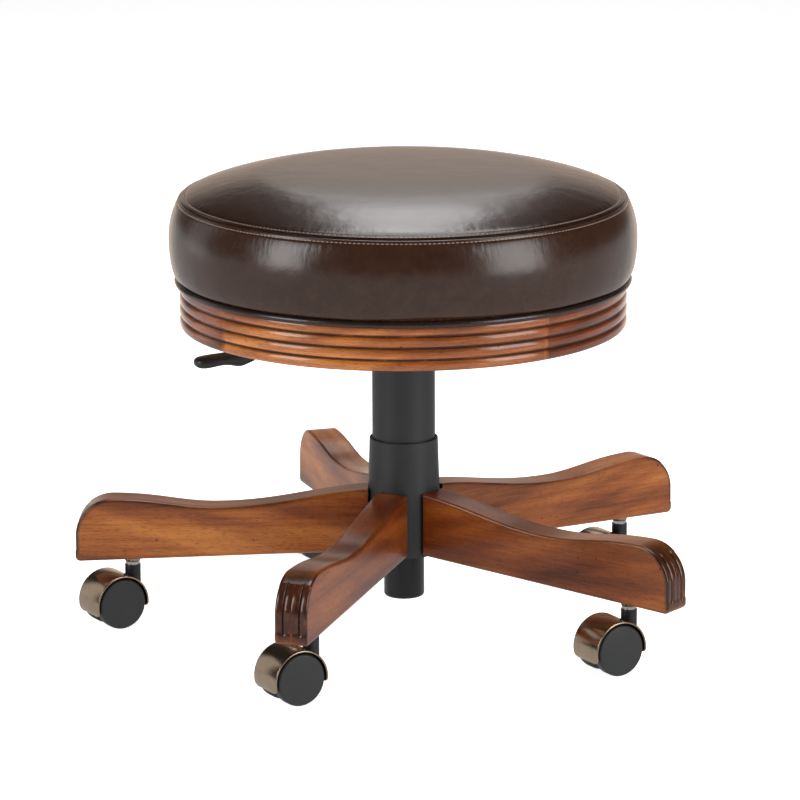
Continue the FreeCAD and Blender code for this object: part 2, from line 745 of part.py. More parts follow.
def mechanism_housing():
    """Folded steel housing, open where the lever leaves it, and the taper bush in its floor."""
    half = HOUSING_WIDTH / 2
    length = HOUSING_BACK + HOUSING_FRONT
    corner = V(-HOUSING_BACK, -half, housing_bottom)
    block = Part.makeBox(length, HOUSING_WIDTH, HOUSING_HEIGHT, corner)
    inside = corner + V(HOUSING_WALL, HOUSING_WALL, HOUSING_WALL)
    hollow = Part.makeBox(length, HOUSING_WIDTH - 2 * HOUSING_WALL, HOUSING_HEIGHT, inside)
    bush_radius = CYLINDER_RADIUS + TAPER_BUSH_WALL
    bush_top = housing_bottom + TAPER_BUSH_HEIGHT
    floor_hole = cylinder(bush_radius + PRESS_GAP, housing_bottom, housing_bottom + HOUSING_WALL)
    pivot_foot = V(PIVOT_REACH, -half, pivot_level)
    pivot_hole = Part.makeCylinder(PIVOT_RADIUS + PRESS_GAP, HOUSING_WIDTH, pivot_foot, Y_AXIS)
    box = block.cut(hollow).cut(floor_hole).cut(pivot_hole)
    bush = turned([
        (taper_radius(housing_bottom) + PRESS_GAP, housing_bottom),
        (bush_radius, housing_bottom),
        (bush_radius, bush_top),
        (taper_radius(bush_top) + PRESS_GAP, bush_top),
    ])
    return [box, bush]


def lever_pivot():
    """Pin across the housing that the lever rocks on."""
    foot = V(PIVOT_REACH, -HOUSING_WIDTH / 2, pivot_level)
    return Part.makeCylinder(PIVOT_RADIUS, HOUSING_WIDTH, foot, Y_AXIS)


def arm_end_level():
    """Height of the underside of the arm's outer end, inside the paddle."""
    return APRON_BOTTOM - PADDLE_NECK_DROP + (PADDLE_THICKNESS - ARM_THICKNESS) / 2


def lever_arm():
    """Flat steel lever: its nose lies over the valve pin and its outer end slopes down to the paddle."""
    top = arm_bottom + ARM_THICKNESS
    end = arm_end_level()
    reach = paddle_tip_reach - ARM_END_BACK
    outline = [
        (-ARM_NOSE, arm_bottom),
        (ARM_BEND, arm_bottom),
        (reach, end),
        (reach, end + ARM_THICKNESS),
        (ARM_BEND, top),
        (-ARM_NOSE, top),
    ]
    corners = [V(x, -ARM_WIDTH / 2, z) for x, z in outline]
    bar = Part.Face(Part.makePolygon(corners + corners[:1])).extrude(V(0, ARM_WIDTH, 0))
    foot = V(PIVOT_REACH, -ARM_WIDTH / 2, pivot_level)
    boss = Part.makeCylinder(PIVOT_BOSS_RADIUS, ARM_WIDTH, foot, Y_AXIS)
    bore = Part.makeCylinder(PIVOT_RADIUS + RUNNING_GAP, ARM_WIDTH, foot, Y_AXIS)
    return bar.fuse(boss).cut(bore)


def lever_paddle():
    """Moulded paddle on the outer end of the arm, with a dropped heel and a rounded blade."""
    root_drop = PADDLE_HEEL_DROP - PADDLE_ROOT_HEIGHT / 2
    belly = PADDLE_BELLY_DROP
    outline = [
        (paddle_root_reach, root_drop),
        (paddle_tip_reach - PADDLE_HEEL_BACK, PADDLE_HEEL_DROP),
        (paddle_neck_reach, PADDLE_NECK_DROP),
        (paddle_belly_reach, belly),
        (paddle_tip_reach, PADDLE_TIP_DROP),
        (paddle_belly_reach, belly - PADDLE_THICKNESS),
        (paddle_neck_reach, PADDLE_NECK_DROP - PADDLE_THICKNESS),
        (paddle_root_reach, root_drop - PADDLE_ROOT_HEIGHT),
    ]
    half = PADDLE_WIDTH / 2
    corners = [V(x, -half, APRON_BOTTOM - drop) for x, drop in outline]
    blade = Part.Face(Part.makePolygon(corners + corners[:1])).extrude(V(0, PADDLE_WIDTH, 0))
    nose = cylinder(half, 0, FAR, paddle_tip_reach - half)
    shank_length = paddle_tip_reach - half - paddle_root_reach
    shank = Part.makeBox(shank_length, PADDLE_WIDTH, FAR, V(paddle_root_reach, -half, 0))
    return blade.common(nose.fuse(shank)).cut(lever_arm())


def plate_bolts():
    """Bolts that hold the plate to the seat board."""
    bolts = []
    for x, y in corner_places():
        head = cylinder(BOLT_HEAD_RADIUS, plate_bottom - BOLT_HEAD_HEIGHT, plate_bottom, x, y)
        shank = cylinder(BOLT_RADIUS, plate_bottom, board_top - TEE_FLANGE, x, y)
        bolts.append(head.fuse(shank))
    return bolts


def tee_nuts():
    """Tee nuts let into the top of the seat board."""
    nuts = []
    for x, y in corner_places():
        flange = cylinder(TEE_FLANGE_RADIUS, board_top - TEE_FLANGE, board_top, x, y)
        barrel = cylinder(tee_barrel_radius, board_top - TEE_BARREL_LENGTH, board_top, x, y)
        bore = cylinder(BOLT_RADIUS + PRESS_GAP, board_top - TEE_BARREL_LENGTH, board_top, x, y)
        nuts.append(flange.fuse(barrel).cut(bore))
    return nuts


# Apron, board and cushion


def apron_screw_circle():
    """Distance of the apron screws from the column axis."""
    return apron_radius - APRON_WIDTH / 2 - REED_DEPTH


def apron_segments():
    """Four quarter segments of the reeded apron ring, bored for the screws."""
    groove = apron_radius - REED_DEPTH
    inner = apron_radius - APRON_WIDTH
    edges = []
    for index in range(REED_COUNT):
        foot = APRON_BOTTOM + index * REED_HEIGHT
        start = V(groove, 0, foot)
        crest = V(apron_radius, 0, foot + REED_HEIGHT / 2)
        edges.append(arc(start, crest, V(groove, 0, foot + REED_HEIGHT)))
    edges.append(line(V(groove, 0, apron_top), V(inner, 0, apron_top)))
    edges.append(line(V(inner, 0, apron_top), V(inner, 0, APRON_BOTTOM)))
    edges.append(line(V(inner, 0, APRON_BOTTOM), V(groove, 0, APRON_BOTTOM)))
    quarter = upright_face(edges).revolve(ORIGIN, Z_AXIS, 360.0 / APRON_SEGMENTS)
    segments = around(quarter, APRON_SEGMENTS, APRON_JOINT_ANGLE)
    circle = apron_screw_circle()
    recess_top = APRON_BOTTOM + APRON_SCREW_RECESS + APRON_SCREW_HEAD
    recess = cylinder(APRON_SCREW_HEAD_RADIUS + CLEAR_GAP, 0, recess_top, circle)
    shank = cylinder(APRON_SCREW_RADIUS + PRESS_GAP, 0, apron_top, circle)
    bores = around(recess.fuse(shank), APRON_SCREWS, screw_angle())
    return [segment.cut(bores) for segment in segments]


def screw_angle():
    """Angle of the first apron screw, half a step past a joint."""
    return APRON_JOINT_ANGLE + 180.0 / APRON_SCREWS


def apron_screws():
    """Screws up through the apron into the seat board."""
    circle = apron_screw_circle()
    head_bottom = APRON_BOTTOM + APRON_SCREW_RECESS
    head_top = head_bottom + APRON_SCREW_HEAD
    head = cylinder(APRON_SCREW_HEAD_RADIUS, head_bottom, head_top, circle)
    shank = cylinder(APRON_SCREW_RADIUS, head_top, apron_top + APRON_SCREW_BITE, circle)
    return around(head.fuse(shank), APRON_SCREWS, screw_angle())


def seat_board():
    """Plywood disc, rebated for the piping tape and bored for the tee nuts and screws."""
    board = cylinder(board_radius, apron_top, board_top)
    tape_inner = piping_circle - PIPING_TAPE_WIDTH
    board = board.cut(ring(tape_inner, FAR, apron_top, apron_top + PIPING_TAPE))
    for x, y in corner_places():
        for radius, foot in ((tee_barrel_radius, apron_top), (TEE_FLANGE_RADIUS, board_top - TEE_FLANGE)):
            board = board.cut(turned_by(cylinder(radius + PRESS_GAP, foot, board_top, x, y), LEVER_ANGLE))
    bite_top = apron_top + APRON_SCREW_BITE + PRESS_GAP
    screw_hole = cylinder(APRON_SCREW_RADIUS + PRESS_GAP, apron_top, bite_top, apron_screw_circle())
    return board.cut(around(screw_hole, APRON_SCREWS, screw_angle()))


def piping():
    """Leather-covered cord round the foot of the cushion, with the tape that is nailed under the board."""
    level = apron_top + PIPING_TAPE / 2
    cord = Part.makeTorus(piping_circle, PIPING_RADIUS, V(0, 0, level), Z_AXIS)
    tape_inner = piping_circle - PIPING_TAPE_WIDTH
    tape = ring(tape_inner, piping_circle, apron_top, apron_top + PIPING_TAPE)
    return cord.fuse(tape)


def band_foot():
    """Height of the lower edge of the cushion's side band, just above the piping."""
    return apron_top + PIPING_TAPE / 2 + PIPING_RADIUS + CLEAR_GAP


def band_edges(inset):
    """Side band outline from its foot over the bulge to the seam, set in by a thickness."""
    foot = V(band_foot_radius - inset, 0, band_foot())
    bulge = V(SEAT_RADIUS - inset, 0, apron_top + SEAT_BULGE_HEIGHT)
    seam = seam_point(inset)
    lower = bulge.z - foot.z
    upper = seam.z - bulge.z
    swell = bulge.x - foot.x
    draw_in = bulge.x - seam.x
    foot_pull = foot + V(BAND_FOOT_PULL[0] * swell, 0, BAND_FOOT_PULL[1] * lower)
    bulge_pull_down = bulge - V(0, 0, BAND_BULGE_PULL[0] * lower)
    bulge_pull_up = bulge + V(0, 0, BAND_BULGE_PULL[1] * upper)
    seam_pull = seam + V(BAND_SEAM_PULL[0] * draw_in, 0, -BAND_SEAM_PULL[1] * upper)
    return [bezier(foot, foot_pull, bulge_pull_down, bulge), bezier(bulge, bulge_pull_up, seam_pull, seam)]


def seam_point(inset):
    """Seam between side band and top panel, set in along the line that halves their corner."""
    return V(seam_radius - SEAM_INSET[0] * inset, 0, apron_top + SEAM_HEIGHT - SEAM_INSET[1] * inset)


def crown_edge(inset):
    """Top panel outline from the seam to the middle of the crown, set in by a thickness."""
    top = apron_top + CROWN_HEIGHT - inset
    shoulder = V(seam_radius - SHOULDER_IN, 0, top - SHOULDER_DROP)
    return bezier(seam_point(inset), shoulder, V(seam_radius - CROWN_FLAT_IN, 0, top), V(0, 0, top))


def joined_ends(outer, inner):
    """Closed face between an outer and an inner run of edges, drawn the same way."""
    inner_back = [edge.copy() for edge in reversed(inner)]
    start_gap = line(inner[0].Vertexes[0].Point, outer[0].Vertexes[0].Point)
    end_gap = line(outer[-1].Vertexes[-1].Point, inner[-1].Vertexes[-1].Point)
    return Part.Face(Part.Wire(Part.__sortEdges__(outer + [end_gap] + inner_back + [start_gap])))


def side_band():
    """Leather side band of the cushion, bulging between piping and seam."""
    return joined_ends(band_edges(0), band_edges(LEATHER)).revolve(ORIGIN, Z_AXIS, 360)


def top_panel():
    """Leather top panel of the cushion, crowned and drawn down to the seam."""
    return joined_ends([crown_edge(0)], [crown_edge(LEATHER)]).revolve(ORIGIN, Z_AXIS, 360)


def foam_pad():
    """Foam that fills the leather and rests flat on the seat board."""
    inset = LEATHER + CLEAR_GAP
    edges = band_edges(inset) + [crown_edge(inset)]
    foot = edges[0].Vertexes[0].Point
    top = edges[-1].Vertexes[-1].Point
    middle = V(0, 0, foot.z)
    edges += [line(top, middle), line(middle, foot)]
    pad = upright_face(edges).revolve(ORIGIN, Z_AXIS, 360)
    return pad.cut(cylinder(FAR, 0, board_top))


def save(name, shapes):
    """Write one sub-part, as one solid or as a group of solids."""
    solids = [solid for shape in shapes for solid in shape.Solids]
    whole = solids[0] if len(solids) == 1 else Part.makeCompound(solids)
    whole.exportStep(f"parts/{name}.step")
    print(name, len(solids), "solids", round(sum(solid.Volume for solid in solids)), "mm3")


def main():
    os.makedirs("parts", exist_ok=True)
    leg_angles = [FIRST_LEG_ANGLE + index * 360.0 / LEG_COUNT for index in range(LEG_COUNT)]
    caster_pieces = {
        "hood": [caster_hood()],
        "body": [caster_body()],
        "stem_and_axle": [caster_stem(), caster_axle()],
        "wheel_a": [caster_wheel(1)],
        "wheel_b": [caster_wheel(-1)],
    }
    one_leg = leg()
    for number, angle in enumerate(leg_angles, start=1):
        save(f"leg_{number}", [turned_by(one_leg, angle)])
        for piece, shapes in caster_pieces.items():
            save(f"caster_{number}_{piece}", [at_caster(shape, angle) for shape in shapes])
    save("caster_sockets", [at_caster(caster_socket(), angle) for angle in leg_angles])
    save("leg_studs", [turned_by(stud, angle) for angle in leg_angles for stud in leg_studs()])
    save("leg_inserts", [turned_by(insert, angle) for angle in leg_angles for insert in leg_inserts()])
    save("hub_shell", [hub_shell()])
    save("hub_socket", [hub_socket()])
    save("column_tube", [column_tube()])
    save("guide_bush", [guide_bush()])
    save("lower_race", [lower_race()])
    save("thrust_bearing", thrust_bearing())
    save("piston_rod", [piston_rod()])
    save("piston", [piston()])
    save("rod_clip", [rod_clip()])
    save("bump_stop", [bump_stop()])
    save("pressure_cylinder", [pressure_cylinder(), cylinder_gland()])
    save("valve_pin", [valve_pin()])
    save("column_cover", [column_cover()])
    mechanism = {
        "mechanism_plate": [mechanism_plate()],
        "mechanism_housing": mechanism_housing(),
        "lever_pivot": [lever_pivot()],
        "lever_arm": [lever_arm()],
        "lever_paddle": [lever_paddle()],
        "plate_bolts": plate_bolts(),
        "tee_nuts": tee_nuts(),
    }
    for name, shapes in mechanism.items():
        save(name, [turned_by(shape, LEVER_ANGLE) for shape in shapes])
    save("apron_ring", apron_segments())
    save("apron_screws", apron_screws())
    save("seat_board", [seat_board()])
    save("piping", [piping()])
    save("side_band", [side_band()])
    save("top_panel", [top_panel()])
    save("foam_pad", [foam_pad()])


main()
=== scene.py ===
# %% [markdown]
# # A swivel vanity stool
# A round leather cushion sits on a reeded wooden ring, a gas-lift column and five wooden legs on casters.
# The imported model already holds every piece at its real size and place. It could be shown as it is, but it
# has no grain, stitches or soft forms, so the steps below model and finish what is seen, around that fixed
# frame.

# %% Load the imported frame
import json
import math
import bmesh
import bpy
import numpy as np
from mathutils import Euler, Matrix, Quaternion, Vector

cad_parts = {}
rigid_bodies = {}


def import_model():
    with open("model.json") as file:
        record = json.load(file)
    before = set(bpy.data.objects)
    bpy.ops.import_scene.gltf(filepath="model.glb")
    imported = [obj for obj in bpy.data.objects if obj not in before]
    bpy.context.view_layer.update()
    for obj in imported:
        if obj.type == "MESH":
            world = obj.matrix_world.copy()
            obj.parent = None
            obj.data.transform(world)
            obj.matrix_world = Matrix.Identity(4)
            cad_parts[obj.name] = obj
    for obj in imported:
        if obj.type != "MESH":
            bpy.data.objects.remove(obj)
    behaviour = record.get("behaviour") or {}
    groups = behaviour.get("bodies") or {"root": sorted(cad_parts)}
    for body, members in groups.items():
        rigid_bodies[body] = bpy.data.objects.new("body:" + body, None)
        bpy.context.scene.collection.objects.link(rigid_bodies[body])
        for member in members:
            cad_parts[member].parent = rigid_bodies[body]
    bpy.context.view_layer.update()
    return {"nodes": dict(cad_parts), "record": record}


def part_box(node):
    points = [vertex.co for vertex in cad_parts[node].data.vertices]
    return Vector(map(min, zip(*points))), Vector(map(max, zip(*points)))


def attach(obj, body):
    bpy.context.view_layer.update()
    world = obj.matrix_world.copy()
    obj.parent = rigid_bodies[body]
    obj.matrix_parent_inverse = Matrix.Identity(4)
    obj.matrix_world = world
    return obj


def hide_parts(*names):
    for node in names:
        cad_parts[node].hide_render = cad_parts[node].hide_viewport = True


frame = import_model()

MM = 0.001
AXIS = (0.0, 0.0, 1.0)
CENTRE = (0.0, 0.0, 0.0)

# %% [markdown]
# ## Modelling helpers
# An operator works on everything that is selected, so each helper first deselects all and opens one piece
# only. Chains of edges are drawn by extruding a single vertex from point to point, as by hand, and turned
# pieces spin such a chain round an axis.


# %% Select and open pieces
def begin():
    """Leave edit mode and deselect everything."""
    if bpy.context.mode != "OBJECT":
        bpy.ops.object.mode_set(mode="OBJECT")
    bpy.ops.object.select_all(action="DESELECT")


def take(piece):
    """Select one piece only."""
    begin()
    piece.select_set(True)
    bpy.context.view_layer.objects.active = piece


def edit(piece):
    """Open one piece in edit mode, with nothing selected."""
    take(piece)
    bpy.ops.object.mode_set(mode="EDIT")
    bpy.ops.mesh.select_mode(type="VERT")
    bpy.ops.mesh.select_all(action="DESELECT")


def pick(kind, test):
    """Select the verts, edges or faces of the open mesh that pass a test."""
    bpy.ops.mesh.select_mode(type=kind[:-1].upper())
    bpy.ops.mesh.select_all(action="DESELECT")
    shape = bmesh.from_edit_mesh(bpy.context.object.data)
    for item in getattr(shape, kind):
        if test(item):
            item.select_set(True)
    bmesh.update_edit_mesh(bpy.context.object.data)


def pick_all():
    """Select the whole open mesh."""
    bpy.ops.mesh.select_all(action="SELECT")


def rename(piece, name):
    """Give a piece and its mesh a name."""
    piece.name = name
    piece.data.name = name
    return piece


def named(name):
    """Name the piece that an operator has just made."""
    return rename(bpy.context.object, name)


# %% Draw and spin
def draw(name, points):
    """Draw a chain of edges from a plane merged to one vertex, and leave it open."""
    begin()
    bpy.ops.mesh.primitive_plane_add(size=MM)
    piece = named(name)
    edit(piece)
    pick_all()
    bpy.ops.mesh.merge(type="CENTER")
    bpy.ops.transform.translate(value=points[0])
    for start, end in zip(points, points[1:]):
        step = Vector(end) - Vector(start)
        bpy.ops.mesh.extrude_region_move(TRANSFORM_OT_translate={"value": step})
    return piece


def spin(name, profile, steps, angle=2 * math.pi):
    """Spin a profile of (radius, height) points in millimetres round the column axis."""
    piece = draw(name, [(radius * MM, 0, height * MM) for radius, height in profile])
    pick_all()
    bpy.ops.mesh.spin(steps=steps, angle=angle, center=CENTRE, axis=AXIS)
    return piece


def copy_round(count):
    """Copy the open mesh round the column axis until there are so many."""
    pick_all()
    bpy.ops.mesh.spin(steps=count - 1, angle=2 * math.pi * (count - 1) / count, dupli=True,
                      center=CENTRE, axis=AXIS)
    pick_all()
    bpy.ops.mesh.normals_make_consistent(inside=False)
    begin()


# %% Close and finish
def weld():
    """Merge the doubles of the open mesh."""
    pick_all()
    bpy.ops.mesh.remove_doubles(threshold=0.002 * MM)


def cap(test):
    """Close the open edges that pass a test with one face."""
    pick("edges", lambda edge: edge.is_boundary and test(edge))
    bpy.ops.mesh.edge_face_add()


def close_up():
    """Merge doubles, turn all faces outwards and leave edit mode."""
    weld()
    bpy.ops.mesh.normals_make_consistent(inside=False)
    bpy.ops.object.mode_set(mode="OBJECT")


def apply_modifier(piece, kind, **settings):
    """Add a modifier, set it and apply it."""
    take(piece)
    bpy.ops.object.modifier_add(type=kind)
    modifier = piece.modifiers[-1]
    for name, value in settings.items():
        setattr(modifier, name, value)
    bpy.ops.object.modifier_apply(modifier=modifier.name)


def shade(piece, angle=35):
    """Smooth shading, apart from edges sharper than an angle."""
    take(piece)
    bpy.ops.object.shade_smooth_by_angle(angle=math.radians(angle))


def place(piece, matrix):
    """Move a piece, and put the move into its mesh."""
    take(piece)
    piece.matrix_world = matrix
    bpy.ops.object.transform_apply(location=True, rotation=True, scale=True)


def twin(piece, name, matrix):
    """A copy with its own mesh, moved by a matrix."""
    take(piece)
    bpy.ops.object.duplicate(linked=False)
    copy = named(name)
    place(copy, matrix)
    return copy


# %% Read and write the points of a mesh
def points_of(piece):
    """Places of the vertices as rows."""
    places = np.empty(3 * len(piece.data.vertices), np.float32)
    piece.data.vertices.foreach_get("co", places)
    return places.reshape(-1, 3).astype(float)


def move_points(piece, places):
    """Write the places of the vertices back."""
    piece.data.vertices.foreach_set("co", np.asarray(places, np.float32).ravel())
    piece.data.update()


def reach_of(places):
    """Distance of each point from the column axis."""
    return np.hypot(places[:, 0], places[:, 1])


def angle_of(places):
    """Angle of each point round the column axis."""
    return np.arctan2(places[:, 1], places[:, 0])


def note(piece, name, values):
    """Store a number or a vector at every vertex, for the materials to read."""
    values = np.asarray(values, np.float32)
    kind, field = ("FLOAT", "value") if values.ndim == 1 else ("FLOAT_VECTOR", "vector")
    piece.data.attributes.new(name, kind, "POINT").data.foreach_set(field, values.ravel())


# %% Tie a piece to the frame
finishes = {}


def fit(piece, slot, body, *nodes):
    """Dress a piece in its slot's finish, tie it to its body, and hide the nodes that it stands for."""
    piece.data.materials.clear()
    piece.data.materials.append(finishes[slot])
    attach(piece, body)
    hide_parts(*nodes)
    print(piece.name, "has", len(piece.data.polygons), "faces and rides on", body)


# %% Curves for outlines
def curve(ends, pulls, spans):
    """Points along a curve with two ends and two pulls between them."""
    poles = np.array([ends[0], *pulls, ends[1]], float)
    t = np.linspace(0, 1, spans + 1)[:, None]
    weights = [(1 - t) ** 3, 3 * t * (1 - t) ** 2, 3 * t ** 2 * (1 - t), t ** 3]
    return sum(weight * pole for weight, pole in zip(weights, poles))


def arc(centre, radius, start, end, spans):
    """Points along an arc between two angles in degrees."""
    angles = np.radians(np.linspace(start, end, spans + 1))
    return np.array(centre) + radius * np.column_stack([np.cos(angles), np.sin(angles)])


def ways(path):
    """Way along a chain to each of its points."""
    return np.concatenate([[0], np.cumsum(np.linalg.norm(np.diff(path, axis=0), axis=1))])


print("helpers ready")

# %% [markdown]
# ## Sums in shaders
# A finish mixes many small patterns, and wiring each Math node by hand hides the idea. This class wraps one
# socket, so that sums are written as Python and each sum adds its node. One method adds every other kind of
# node.


# %% A socket that can be reckoned with
class Signal:
    """One socket of a node tree."""

    def __init__(self, tree, socket=None):
        self.tree = tree
        self.socket = socket

    def node(self, kind, settings, inputs, output=0):
        """Add a node: its settings first, then the values or links of its sockets."""
        made = self.tree.nodes.new("ShaderNode" + kind)
        for name, value in settings.items():
            if name == "stops":
                self.set_stops(made.color_ramp.elements, value)
            else:
                setattr(made, name, value)
        for name, value in inputs.items():
            if isinstance(value, Signal):
                self.tree.links.new(value.socket, made.inputs[name])
            else:
                made.inputs[name].default_value = value
        return Signal(self.tree, made.outputs[output] if made.outputs else None)

    @staticmethod
    def set_stops(elements, stops):
        """Give a colour ramp its stops of (position, colour)."""
        while len(elements) < len(stops):
            elements.new(1.0)
        for element, (position, colour) in zip(elements, stops):
            element.position = position
            element.color = colour

    def math(self, operation, *others):
        """A Math node with this socket as its first value."""
        return self.node("Math", {"operation": operation}, dict(enumerate((self, *others))))

    def __add__(self, other):
        return self.math("ADD", other)

    def __sub__(self, other):
        return self.math("SUBTRACT", other)

    def __mul__(self, other):
        return self.math("MULTIPLY", other)

    def __rsub__(self, other):
        return self.node("Math", {"operation": "SUBTRACT"}, {0: other, 1: self})

    def __abs__(self):
        return self.math("ABSOLUTE")

    __radd__ = __add__
    __rmul__ = __mul__

    def rise(self, low, high):
        """0 below low, 1 above high and smooth between, or the other way round if low is the higher."""
        return self.node("MapRange", {"interpolation_type": "SMOOTHSTEP"},
                         {"Value": self, "From Min": low, "From Max": high})

    def ramp(self, *stops):
        """A colour read off a ramp."""
        return self.node("ValToRGB", {"stops": stops}, {"Fac": self})

    def over(self, lower, upper, mode="MIX"):
        """Upper colour laid over lower where this value is 1."""
        return self.node("Mix", {"data_type": "RGBA", "blend_type": mode}, {0: self, 6: lower, 7: upper}, 2)

    def stretched(self, *scale):
        """These coordinates scaled along each axis."""
        return self.node("Mapping", {}, {"Vector": self, "Scale": scale})

    def noise(self, scale, detail=2.0, roughness=0.5, distortion=0.0):
        """Cloudy noise over these coordinates."""
        return self.node("TexNoise", {}, {"Vector": self, "Scale": scale, "Detail": detail,
                                          "Roughness": roughness, "Distortion": distortion})

    def axis(self, name):
        """One of the three coordinates."""
        return self.node("SeparateXYZ", {}, {"Vector": self}, name)

    def bump(self, distance, strength=1.0):
        """A normal bent by this height."""
        return self.node("Bump", {}, {"Height": self, "Distance": distance, "Strength": strength})


# %% Colours and finishes
def colour(red, green, blue):
    """A colour given as on a screen, from 0 to 255, for a shader."""
    shares = [value / 255 for value in (red, green, blue)]
    linear = [s / 12.92 if s <= 0.04045 else ((s + 0.055) / 1.055) ** 2.4 for s in shares]
    return (*linear, 1.0)


def new_finish(name):
    """An empty material, and the coordinates that its patterns start from."""
    finish = bpy.data.materials.new(name)
    finish.use_nodes = True
    finish.node_tree.nodes.clear()
    return finish, Signal(finish.node_tree).node("TexCoord", {}, {}, "Object")


def close_finish(start, sockets):
    """Feed one Principled shader and join it to the material's output."""
    shader = start.node("BsdfPrincipled", {}, sockets)
    start.node("OutputMaterial", {}, {"Surface": shader})


print("shader sums ready")

# %% [markdown]
# ## Camera
# A long lens from about 4.5 m, a little above the seat, keeps the outlines nearly parallel. Its place and
# angles were found by laying outlines of seat, apron, legs and wheels over the picture. The picture is
# square.

# %% Set the camera
CAMERA_PLACE = (0.0765, -4.430, 1.290)
CAMERA_PITCH = 13.5
CAMERA_YAW = -1.035
CAMERA_ROLL = -0.2
SENSOR = 36.0
FOCAL_PIXELS = 4633.6
IMAGE_PIXELS = 800

begin()
bpy.ops.object.camera_add(location=CAMERA_PLACE)
camera = bpy.context.object
camera.name = "camera"
camera.data.sensor_width = SENSOR
camera.data.lens = SENSOR * FOCAL_PIXELS / IMAGE_PIXELS
aim = Euler((math.radians(90 - CAMERA_PITCH), 0, math.radians(-CAMERA_YAW))).to_quaternion()
camera.rotation_mode = "QUATERNION"
camera.rotation_quaternion = aim @ Quaternion(AXIS, math.radians(CAMERA_ROLL))
bpy.context.scene.camera = camera
print("lens of", round(camera.data.lens, 1), "mm")

# %% [markdown]
# ## Floor and light
# The stool stands on a pale studio floor. Glossy leather and lacquer mostly show what they mirror, so the
# light is built as the studio would be: a dim room with a glow behind and below, a large box overhead, a
# soft box at each side of the front, a faint one at the left, and two behind that the seat mirrors. A plain
# bright sky would light it too, but would veil every dark surface. The floor stays out of mirrored rays for
# the same reason: they meet the dimmer lower half of the room instead. Only the camera sees the pale wall.

# %% Lay the floor
WHITE = (1.0, 1.0, 1.0, 1.0)
STAGE_GLOW = 0.85

begin()
bpy.ops.mesh.primitive_plane_add(size=24.0)
floor = named("floor")
finish, spot = new_finish("studio floor")
cloud = spot.noise(0.6, 2.0)
close_finish(spot, {
    "Base Color": cloud.over(colour(246, 246, 246), colour(250, 250, 250)),
    "Roughness": 0.9,
    "Specular IOR Level": 0.1,
    "Emission Color": WHITE,
    "Emission Strength": STAGE_GLOW,
})
finish.cycles.emission_sampling = "NONE"
floor.data.materials.append(finish)
floor.visible_glossy = False
bpy.context.scene.view_settings.view_transform = "Standard"
print("floor of", floor.dimensions.x, "m laid")

# %% Light the room
BACK_GLOW = 0.74
LOW_GLOW = 0.58
ROOM_GLOW = 0.03
WARM_WHITE = (1.0, 0.80, 0.66, 1.0)

world = bpy.data.worlds.new("studio")
bpy.context.scene.world = world
world.use_nodes = True
world.node_tree.nodes.clear()
sky = Signal(world.node_tree).node("TexCoord", {}, {}, "Generated")
behind = sky.axis("Y").rise(0.80, 0.97) * sky.axis("Z").rise(0.36, 0.16)
below = sky.axis("Z").rise(0.02, -0.10)
glow = behind * BACK_GLOW + below * LOW_GLOW + ROOM_GLOW
warmth = behind.over(WHITE, WARM_WHITE)
room = sky.node("Background", {}, {"Color": warmth, "Strength": glow})
wall = sky.node("Background", {}, {"Color": WHITE, "Strength": STAGE_GLOW})
seen = sky.node("LightPath", {}, {}, "Is Camera Ray")
backdrop = sky.node("MixShader", {}, {0: seen, 1: room, 2: wall})
sky.node("OutputWorld", {}, {"Surface": backdrop})
print("room lit by", world.name)

# %% Hang the soft boxes
TARGET = Vector((0.0, 0.0, 0.33))
# azimuth and elevation in degrees, distance, width and height in metres, power in watts
SOFT_BOXES = {
    "left box": (-57.5, 17, 2.6, 0.9, 1.6, 27.5),
    "left wall": (-115, 10, 3.0, 1.1, 1.9, 4.2),
    "right box": (56, 15.5, 2.6, 1.2, 1.8, 35),
    "low back box": (180, 29, 3.0, 0.9, 0.8, 3.0),
    "high back box": (180, 50, 3.0, 0.8, 1.3, 14.0),
    "overhead box": (150, 82, 2.4, 1.8, 1.8, 48),
}


def soft_box(name, azimuth, elevation, distance, width, height, power):
    """An area light aimed at the stool; azimuth 0 is at the camera and 90 at its right."""
    turn, lift = math.radians(azimuth), math.radians(elevation)
    back = Vector((math.sin(turn) * math.cos(lift), -math.cos(turn) * math.cos(lift), math.sin(lift)))
    begin()
    bpy.ops.object.light_add(type="AREA", location=TARGET + back * distance)
    light = bpy.context.object
    light.name = name
    light.rotation_euler = (-back).to_track_quat("-Z", "Y").to_euler()
    light.data.shape = "RECTANGLE"
    light.data.size = width
    light.data.size_y = height
    light.data.energy = power
    print(name, "of", power, "W")


for name, settings in SOFT_BOXES.items():
    soft_box(name, *settings)

# %% [markdown]
# ## Leather
# The cover is smooth dark brown hide with a thin glossy dressing. Close up it has fine pores, creases, slow
# folds, a faint mottle, and short puckers that run away from the stitching. A picture of leather would need
# a seam somewhere, so all of it is drawn from the place on the piece: pores, creases and folds from noise
# of three sizes, puckers from noise that is fine round the seat and long across the seam.

# %% Leather finishes
SEAM_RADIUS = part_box("top_panel")[1].x
SEAM_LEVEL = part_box("side_band")[1].z
PUCKER_REACH = 28 * MM


